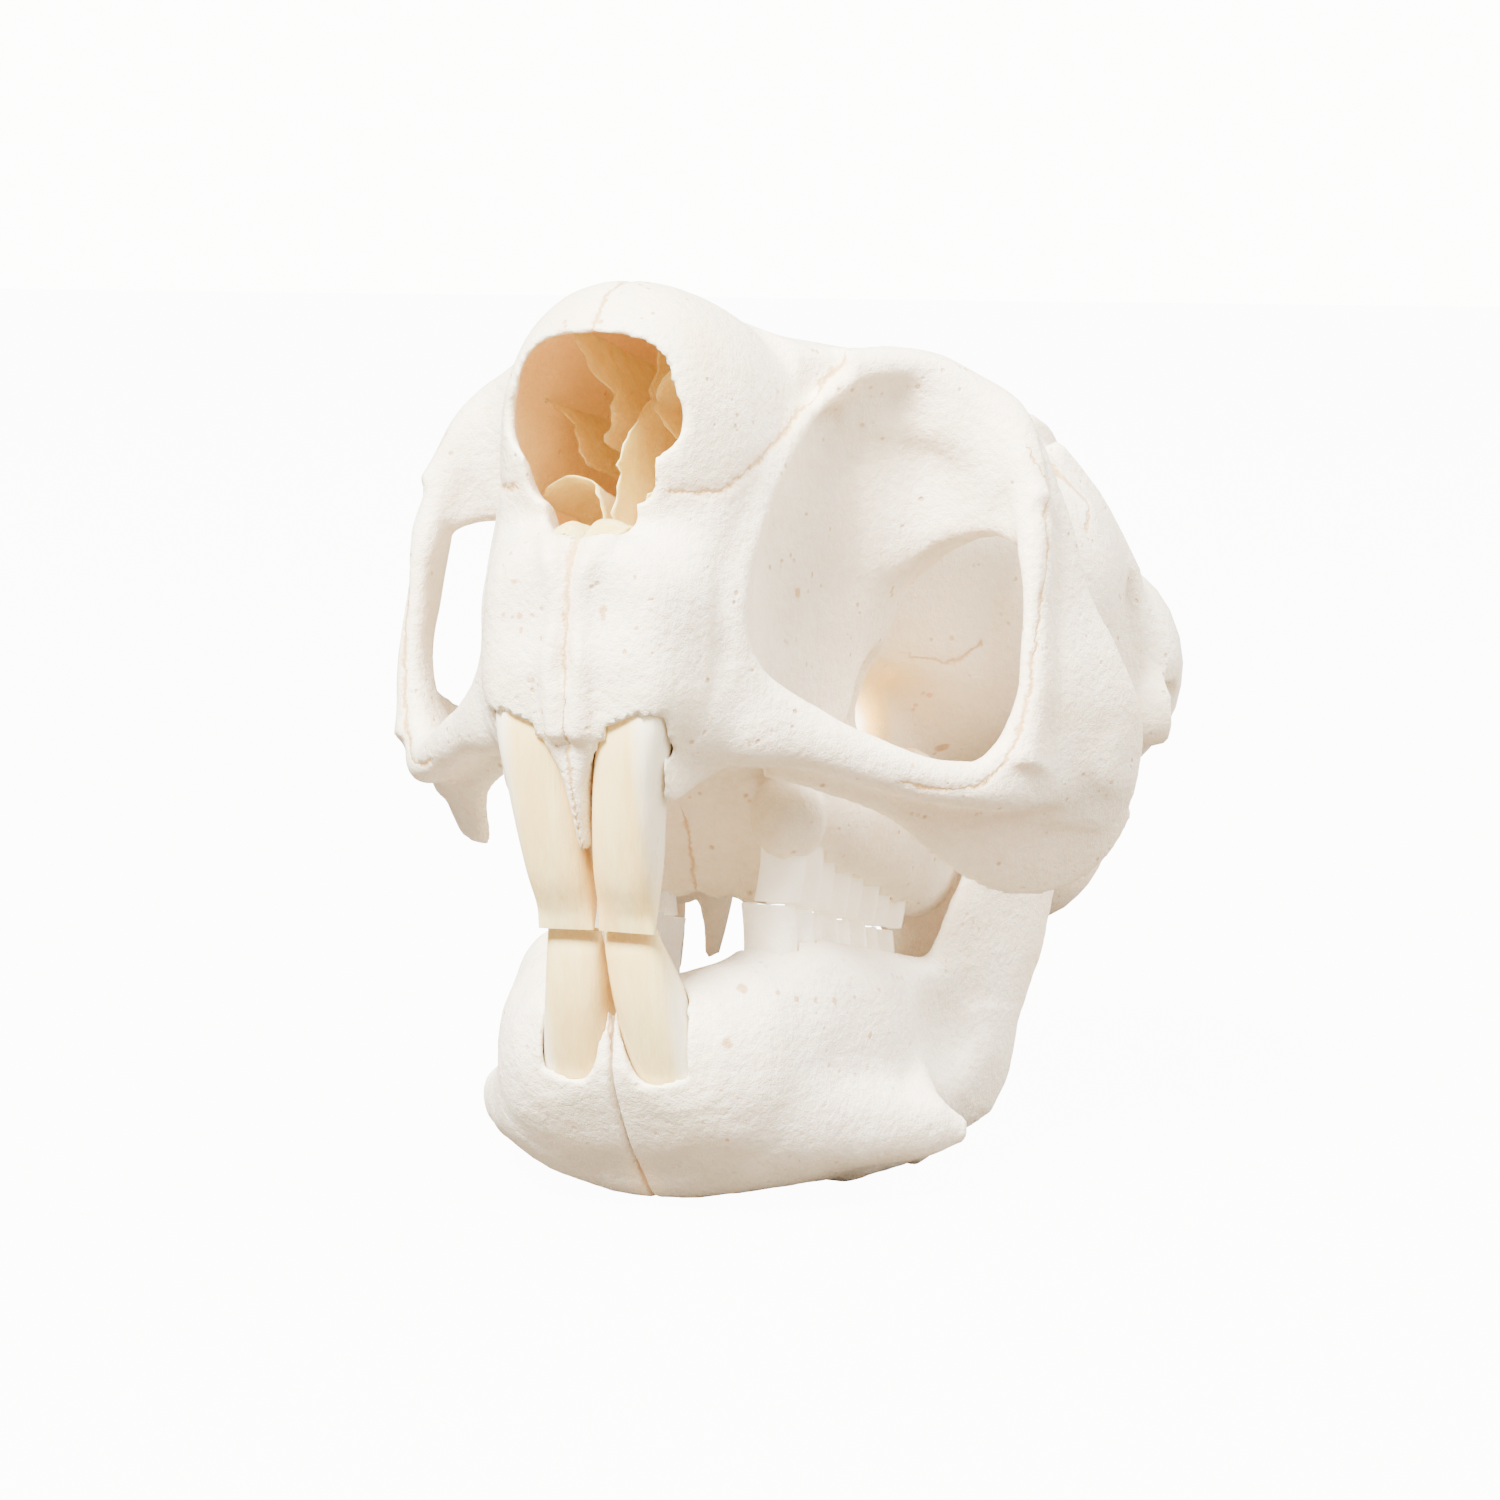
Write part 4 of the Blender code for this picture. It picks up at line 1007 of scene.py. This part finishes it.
def bone_material(name, pale, shade, seam_colour, pores, pits):
    material = bpy.data.materials.new(name)
    material.use_nodes = True
    t = material.node_tree
    shader = t.nodes["Principled BSDF"]
    pits = add_node(t, "ShaderNodeGroup", {"node_tree": pits}, None, {"Spot": millimetres(t)})
    surface = add_node(t, "ShaderNodeGroup", {"node_tree": bone_surface}, {"Pores": pores},
                       {"Pits": pits.outputs["Pit"]})
    colour = tint(t, pale, shade, ramp(t, surface.outputs["Mottle"], 0.38, 0.66))
    pinkish = arith(t, "ADD", arith(t, "MULTIPLY", surface.outputs["Blush"], 0.35),
                    arith(t, "MULTIPLY", reading(t, "porous"), 0.3))
    colour = tint(t, colour, (0.84, 0.70, 0.61), pinkish)
    # Painted light: a deep yellow tint where the bone is thin, for light coming through it
    colour = tint(t, colour, (0.93, 0.80, 0.56), arith(t, "MULTIPLY", reading(t, "thin"), 0.3))
    # Painted shade and glow: tan where the bone lies in shade or light comes through it
    colour = tint(t, colour, (0.86, 0.66, 0.42), arith(t, "MULTIPLY", reading(t, "painted_shade_and_glow"), 0.5))
    # Painted light: deep orange inside the nose and in the gap of the eye socket, for light coming through
    # from behind
    colour = tint(t, colour, (0.86, 0.61, 0.24), arith(t, "MULTIPLY", reading(t, "painted_light_through"), 0.97))
    colour = tint(t, colour, seam_colour, surface.outputs["Seam"])
    # Dark tan in pores and pits: partly the stain in them, partly painted shade inside the holes
    colour = tint(t, colour, (0.56, 0.34, 0.15), arith(t, "MULTIPLY", surface.outputs["Pore"], 0.85))
    t.links.new(colour, shader.inputs["Base Color"])
    t.links.new(ramp(t, surface.outputs["Mottle"], 0.3, 0.7, 0.42, 0.6), shader.inputs["Roughness"])
    bump = add_node(t, "ShaderNodeBump", None, {"Strength": 0.6, "Distance": 0.001},
                    {"Height": surface.outputs["Height"]})
    t.links.new(bump.outputs["Normal"], shader.inputs["Normal"])
    # Painted light: emission stands in for light that comes through the thin walls of the nose and through
    # the gap in the eye socket, and a fainter emission for light in the places of painted shade and glow
    through = tint(t, (1.0, 0.74, 0.46), (1.0, 0.56, 0.12), reading(t, "painted_light_through"))
    through = tint(t, through, (1.0, 0.90, 0.72), ramp(t, reading(t, "glow"), 0.55, 0.85))
    t.links.new(through, shader.inputs["Emission Color"])
    strength = arith(t, "ADD", arith(t, "MULTIPLY", reading(t, "painted_light_through"), 0.2),
                     arith(t, "MULTIPLY", reading(t, "painted_shade_and_glow"), 0.22))
    strength = arith(t, "ADD", strength, ramp(t, reading(t, "glow"), 0.15, 1.0, 0.0, 7.0))
    t.links.new(strength, shader.inputs["Emission Strength"])
    shader.inputs["Subsurface Weight"].default_value = 0.25
    shader.inputs["Subsurface Radius"].default_value = (1.0, 0.6, 0.35)
    shader.inputs["Subsurface Scale"].default_value = 0.0015
    shader.inputs["Specular IOR Level"].default_value = 0.35
    return material


skull_bone = bone_material("skull_bone", (0.88, 0.80, 0.655), (0.80, 0.69, 0.53),
                           (0.60, 0.39, 0.16), 0.9,
                           pit_group("skull_pits", PITS, settled_on(skull_clay, PITS)))
place_piece("cranium_bone", skull_mesh, skull_bone, ["cranium"])


# Scrolls in the nose
# Curled sheets of bone thinner than paper, and the upright partition between the two
# sides of the nose. They grow from the walls of the passage and let the light through.

def sheet_of_bone(name, rows_list, thickness, ragged=1.0):
    """Thin curled sheet through rows of points, with a broken front edge, as a closed solid."""
    rows = [curve_rows(rows, 7) for rows in rows_list]
    grid = np.array([curve_rows(np.array([row[i] for row in rows]), 7) for i in range(len(rows[0]))])
    chance = np.random.default_rng(len(name))
    along, across = grid.shape[:2]
    for i in range(along):
        for j in range(across):
            grid[i, j] += 0.14 * np.array(noise.noise_vector(Vector(grid[i, j]) / 1.6))
    chips = ragged * (chance.random(across) - 0.3) * chance.choice((0.3, 1.6), across)
    for i in range(4):
        grid[i, :, 1] += chips * (1 - i / 4)
    mesh = bpy.data.meshes.new(name)
    faces = []
    for i in range(along - 1):
        for j in range(across - 1):
            a = i * across + j
            faces.append((a, a + 1, a + across + 1, a + across))
    mesh.from_pydata(on_seat(grid.reshape(-1, 3)).tolist(), [], faces)
    mesh.shade_smooth()
    piece = place_piece(name, mesh, scroll_bone, [])
    solid = piece.modifiers.new("thickness", "SOLIDIFY")
    solid.thickness = thickness * 0.001
    solid.offset = 0.0
    return piece


scroll_bone = bpy.data.materials.new("scroll_bone")
scroll_bone.use_nodes = True
t = scroll_bone.node_tree
shader = t.nodes["Principled BSDF"]
spot = millimetres(t)
veil = grain(t, spot, 0.5, 3.0)
# Painted light: the deep yellow colour and the faint glow below stand in for light coming through these
# thin sheets
t.links.new(tint(t, (0.86, 0.62, 0.27), (0.81, 0.54, 0.19), ramp(t, veil, 0.35, 0.65)),
            shader.inputs["Base Color"])
t.links.new(ramp(t, veil, 0.3, 0.7, 0.4, 0.6), shader.inputs["Roughness"])
bump = add_node(t, "ShaderNodeBump", None, {"Strength": 0.4, "Distance": 0.0005},
                {"Height": grain(t, spot, 3.0, 4.0)})
t.links.new(bump.outputs["Normal"], shader.inputs["Normal"])
shader.inputs["Subsurface Weight"].default_value = 0.6
shader.inputs["Subsurface Radius"].default_value = (1.0, 0.55, 0.2)
shader.inputs["Subsurface Scale"].default_value = 0.002
# Painted glow of light coming through the sheets
shader.inputs["Emission Color"].default_value = (1.0, 0.58, 0.14, 1)
shader.inputs["Emission Strength"].default_value = 0.12

sheet_of_bone("nose_partition", [
    [(0.0, 4.2, 12.4), (0.2, 8.0, 11.4), (0.0, 14.0, 8.4), (0.0, 26.0, 5.0)],
    [(0.3, 4.6, 15.6), (0.4, 9.0, 15.4), (0.1, 15.0, 14.4), (0.0, 26.0, 14.0)],
    [(0.5, 5.4, 19.0), (0.0, 10.0, 19.6), (0.0, 17.0, 20.0), (0.0, 26.0, 20.0)],
    [(0.2, 10.0, 22.4), (0.1, 14.0, 23.8), (0.0, 20.0, 24.5), (0.0, 26.0, 25.0)],
    [(0.1, 13.0, 27.8), (0.1, 16.0, 27.6), (0.0, 20.0, 27.0), (0.0, 26.0, 26.4)],
], 0.08)
for side, word in ((1, "left"), (-1, "right")):
    sheet_of_bone("lower_scroll_" + word, [
        [(side * 7.0, 8.0, 15.4), (side * 7.2, 14.0, 13.6), (side * 6.8, 26.0, 11.4)],
        [(side * 4.8, 7.4, 16.8), (side * 4.8, 14.0, 15.8), (side * 4.6, 26.0, 14.0)],
        [(side * 2.2, 7.0, 16.0), (side * 2.2, 14.0, 14.4), (side * 2.0, 26.0, 12.4)],
        [(side * 1.2, 6.4, 12.6), (side * 1.4, 14.0, 11.0), (side * 1.4, 26.0, 9.4)],
    ], 0.08, 0.8)
    sheet_of_bone("upper_scroll_" + word, [
        [(side * 5.2, 8.0, 27.4), (side * 5.0, 16.0, 27.0), (side * 4.8, 26.0, 25.6)],
        [(side * 3.4, 7.4, 24.8), (side * 3.2, 16.0, 23.8), (side * 3.2, 26.0, 22.8)],
        [(side * 1.6, 8.0, 22.2), (side * 1.8, 16.0, 21.0), (side * 1.8, 26.0, 20.0)],
        [(side * 3.0, 10.0, 19.4), (side * 3.2, 17.0, 18.2), (side * 3.0, 26.0, 17.2)],
    ], 0.08, 0.9)
    sheet_of_bone("side_scroll_" + word, [
        [(side * 7.4, 9.0, 22.4), (side * 7.0, 16.0, 22.0), (side * 6.6, 26.0, 20.6)],
        [(side * 5.6, 9.6, 20.8), (side * 5.4, 16.0, 19.6), (side * 5.2, 26.0, 18.6)],
        [(side * 4.8, 11.0, 17.8), (side * 4.8, 17.0, 17.0), (side * 4.6, 26.0, 16.0)],
    ], 0.08, 1.0)

# Dried shreds of lining on the sill of the nose
sheet_of_bone("dried_shred_right", [
    [(-2.6, -0.2, 12.2), (-2.4, 1.2, 12.9), (-2.0, 2.6, 13.3)],
    [(-1.3, -0.5, 12.5), (-1.2, 0.9, 13.3), (-1.0, 2.4, 13.2)],
    [(0.0, -0.4, 12.1), (0.0, 0.8, 12.5), (0.1, 2.2, 12.9)],
], 0.2, 1.2)
sheet_of_bone("dried_shred_left", [
    [(0.2, -0.3, 12.2), (0.3, 1.0, 13.2), (0.4, 2.6, 13.6)],
    [(1.5, -0.4, 12.5), (1.6, 0.8, 12.8), (1.8, 2.2, 13.5)],
    [(2.9, 0.0, 12.3), (3.0, 1.2, 13.1), (3.2, 2.6, 12.9)],
], 0.2, 1.0)


# Lower jaw
# Two halves that meet in a rough seam at the chin. Each carries one long gnawing tooth,
# four cheek teeth, a ridge for the chewing muscle and a turned-in angle at the back.

JAW_STEP = 0.3
JAW_SEAM = 0.12

jaw_clay = Clay((-1.2, 5, -38), (23, 60, 6), JAW_STEP)
jaw_clay.add(trunk([
    (8.4, 0, 3.4, -24.8, -20.2), (9.0, 0, 5.6, -26.2, -19.3), (10.4, 0, 7.9, -28.2, -18.9),
    (12.4, 0, 9.6, -30.6, -18.6), (14.8, 0, 10.5, -32.6, -18.4), (17.5, 0, 10.8, -34.6, -18.6), (22.0, 0, 10.6, -34.3, -20.0),
    (28.0, 0, 8.6, -33.5, -24.0), (33.0, 0, 5.0, -32.0, -27.0),
], squareness=2.3))
jaw_clay.add(trunk([
    (11.0, 5.0, 2.6, -27.0, -19.6), (13.4, 6.2, 4.2, -29.6, -17.8), (16.4, 7.0, 4.9, -31.8, -17.0), (20.0, 8.2, 5.0, -33.2, -15.6),
    (26.0, 9.4, 5.4, -33.2, -15.9), (32.0, 10.4, 5.0, -32.6, -16.6), (38.0, 11.4, 4.0, -31.6, -17.4),
    (43.0, 12.4, 2.6, -30.6, -18.6),
], squareness=2.4), blend=2.6)
jaw_clay.add(limb([
    (7.4, 16.0, -27.6, 0.8, 1.0), (10.0, 18.0, -28.2, 2.0, 2.4), (12.4, 21.6, -28.7, 2.3, 2.8),
    (14.9, 25.8, -29.0, 2.2, 2.6),
    (17.2, 28.8, -29.2, 1.5, 1.9), (19.0, 30.4, -29.3, 0.6, 0.8),
], side_axis=(0, 0, 1)), blend=2.4)
jaw_clay.add_cord([(16.4, 28.0, -28.4), (14.8, 31.0, -25.2), (13.8, 33.8, -22.6)], 1.0, blend=2.0)
jaw_clay.add(limb([
    (13.0, 41.5, -27.0, 1.4, 6.6), (14.2, 43.6, -21.0, 1.2, 6.4), (15.2, 46.0, -16.0, 1.1, 6.2),
    (16.0, 48.4, -11.0, 1.2, 5.2), (17.0, 50.8, -6.0, 1.4, 3.6), (17.6, 52.6, -2.4, 1.7, 2.6),
    (17.8, 53.2, -0.6, 1.8, 2.4),
], side_axis=(0.3, 1, 0)), blend=1.2)
jaw_clay.add(limb([
    (15.0, 43.4, -21.0, 0.7, 6.4), (15.2, 42.6, -24.6, 0.7, 6.4), (14.2, 39.8, -28.0, 0.8, 4.9),
    (12.2, 37.4, -30.6, 1.0, 3.9),
], side_axis=(0.1, 1, 0)), blend=0.8)
jaw_clay.add_cord([(10.6, 28.0, -31.6), (11.4, 36.0, -31.4), (11.4, 43.0, -30.9)], 1.4, blend=2.0)
jaw_clay.add(limb([
    (9.4, 40.0, -17.6, 0.6, 3.2), (10.0, 44.0, -16.6, 0.5, 3.6), (11.6, 47.6, -15.2, 0.5, 4.0),
    (14.6, 49.6, -13.6, 0.6, 4.0),
], side_axis=(0, 0, 1)), blend=0.8)
jaw_clay.cut(lump((18.0, 36.6, -22.2), (4.6, 6.6, 4.6)), blend=2.2)
jaw_clay.cut(lump((18.0, 37.4, -30.4), (2.2, 5.4, 2.6), turn_degrees=-20), blend=1.4)
jaw_clay.cut(lower_incisor(SOCKET_ROOM), blend=0.12)
jaw_clay.cut(bared_lower(), blend=0.15)
for order in range(4):
    jaw_clay.cut(cheek_tooth(order, False, SOCKET_ROOM), blend=0.15)
across = jaw_clay.places((0, 0, 0), jaw_clay.count)[..., 0]
jaw_clay.field = np.maximum(jaw_clay.field, JAW_SEAM - across)

JAW_SEAMS = {"chin": [(0.12, 8.1, -20.0), (0.12, 10.1, -25.7), (0.12, 17.7, -34.5), (0.12, 24, -33)]}

jaw_bone = bone_material("jaw_bone", (0.88, 0.80, 0.67), (0.80, 0.705, 0.56),
                         (0.60, 0.39, 0.16), 0.45,
                         pit_group("jaw_pits", JAW_PITS, settled_on(jaw_clay, JAW_PITS)))
for side, word in ((1, "left"), (-1, "right")):
    mesh = clay_mesh("dentary_bone_" + word, jaw_clay, 60000)
    spots = mesh_points(mesh)
    facing = clay_normals(jaw_clay, spots)
    offset, near = seam_readings(spots, facing, JAW_SEAMS)
    swell = uneven(spots, 3.0, 0.10, 20.0 * side) + uneven(spots, 1.1, 0.04, 5.0 * side)
    swell *= np.clip((spots[:, 0] - 0.3) / 1.0, 0, 1)
    spots += facing * swell[:, None]
    note(mesh, "seam_offset", offset)
    note(mesh, "seam_near", near)
    note(mesh, "thin", thinness(jaw_clay, spots, facing))
    note(mesh, "painted_light_through", 0 * near)
    note(mesh, "glow", 0 * near)
    note(mesh, "porous", 0 * near)
    # Painted shade and glow: tan colour and a faint emission on the inner sheet by the ramus, along its
    # back edge and on the faces where the halves meet at the chin
    painted_shade_and_glow = blot(spots, (10.6, 45, -15), (4, 5, 4.5)) + 0.7 * blot(spots, (17, 51, -14), (2, 2, 12))
    painted_shade_and_glow += 1.3 * blot(spots, (0.2, 16.2, -33.6), (1.0, 3.4, 1.8))
    painted_shade_and_glow += 1.3 * blot(spots, (0.2, 8.4, -20.0), (1.1, 1.6, 2.2))
    note(mesh, "painted_shade_and_glow", np.clip(painted_shade_and_glow, 0, 1.5))
    settle(mesh, spots * (side, 1, 1))
    if side < 0:
        mesh.flip_normals()
    place_piece("dentary_bone_" + word, mesh, jaw_bone, ["dentary_" + word])


# Gnawing teeth
# Four curved incisors that grow all through life. Thick cream enamel lies on the front
# only; the sides show paler dentine, and the tips are worn to slanting edges.

def tooth_mesh(name, body, side):
    points, triangles = body
    points = points * (side, 1, 1)
    if side < 0:
        triangles = triangles[:, ::-1]
    mesh = bpy.data.meshes.new(name)
    mesh.from_pydata(on_seat(points).tolist(), [], triangles.tolist())
    mesh.shade_smooth()
    mesh.set_sharp_from_angle(angle=math.radians(50))
    note(mesh, "inner", np.exp(-((np.abs(points[:, 0]) - 0.2) / 1.3) ** 2))
    note(mesh, "outer", np.clip((np.abs(points[:, 0]) - 4.3) / 0.9, 0, 1))
    return mesh


incisor_enamel = bpy.data.materials.new("incisor_enamel")
incisor_enamel.use_nodes = True
t = incisor_enamel.node_tree
shader = t.nodes["Principled BSDF"]
spot = millimetres(t)
streaked = add_node(t, "ShaderNodeVectorMath", {"operation": "MULTIPLY"}, {1: (1.0, 0.35, 0.12)},
                    {0: spot}).outputs[0]
stain = grain(t, streaked, 0.7, 4.0, 0.6)
colour = tint(t, (0.85, 0.70, 0.34), (0.81, 0.60, 0.23), ramp(t, stain, 0.35, 0.7))
colour = tint(t, colour, (0.86, 0.58, 0.22), arith(t, "MULTIPLY", reading(t, "inner"), 0.55))
colour = tint(t, colour, (0.88, 0.86, 0.78), arith(t, "MULTIPLY", reading(t, "outer"), 0.7))
t.links.new(colour, shader.inputs["Base Color"])
t.links.new(ramp(t, stain, 0.3, 0.7, 0.22, 0.36), shader.inputs["Roughness"])
bump = add_node(t, "ShaderNodeBump", None, {"Strength": 0.25, "Distance": 0.0004},
                {"Height": grain(t, streaked, 3.0, 4.0)})
t.links.new(bump.outputs["Normal"], shader.inputs["Normal"])
shader.inputs["Subsurface Weight"].default_value = 0.3
shader.inputs["Subsurface Radius"].default_value = (1.0, 0.7, 0.4)
shader.inputs["Subsurface Scale"].default_value = 0.0015

for side, word in ((1, "left"), (-1, "right")):
    for row, body in (("upper", upper_incisor()), ("lower", lower_incisor())):
        name = row + "_incisor_tooth_" + word
        mesh = tooth_mesh(name, body, side)
        place_piece(name, mesh, incisor_enamel, [row + "_incisor_" + word])


# Cheek teeth
# Tall columns, each of two lobes with folds of enamel between, worn flat where the upper
# and lower rows meet. They stand close together, so the folds run along the row as pleats.

cheek_enamel = bpy.data.materials.new("cheek_tooth_enamel")
cheek_enamel.use_nodes = True
t = cheek_enamel.node_tree
shader = t.nodes["Principled BSDF"]
spot = millimetres(t)
stain = grain(t, spot, 0.6, 4.0, 0.6)
t.links.new(tint(t, (0.93, 0.87, 0.76), (0.87, 0.77, 0.60), ramp(t, stain, 0.4, 0.7)),
            shader.inputs["Base Color"])
t.links.new(ramp(t, stain, 0.3, 0.7, 0.25, 0.42), shader.inputs["Roughness"])
bump = add_node(t, "ShaderNodeBump", None, {"Strength": 0.3, "Distance": 0.0004},
                {"Height": grain(t, spot, 3.0, 4.0)})
t.links.new(bump.outputs["Normal"], shader.inputs["Normal"])
shader.inputs["Subsurface Weight"].default_value = 0.3
shader.inputs["Subsurface Radius"].default_value = (1.0, 0.7, 0.4)
shader.inputs["Subsurface Scale"].default_value = 0.0015
# Painted glow: a faint emission stands in for light coming through the enamel, and lifts teeth that stand
# in shade
shader.inputs["Emission Color"].default_value = (1.0, 0.86, 0.66, 1)
shader.inputs["Emission Strength"].default_value = 0.6

for side, word in ((1, "left"), (-1, "right")):
    for upper, row in ((True, "upper"), (False, "lower")):
        for order in range(4):
            name = row + "_grinder_" + word + "_" + str(order + 1)
            mesh = tooth_mesh(name, cheek_tooth(order, upper), side)
            node = row + "_cheek_tooth_" + word + "_" + str(order + 1)
            place_piece(name, mesh, cheek_enamel, [node])
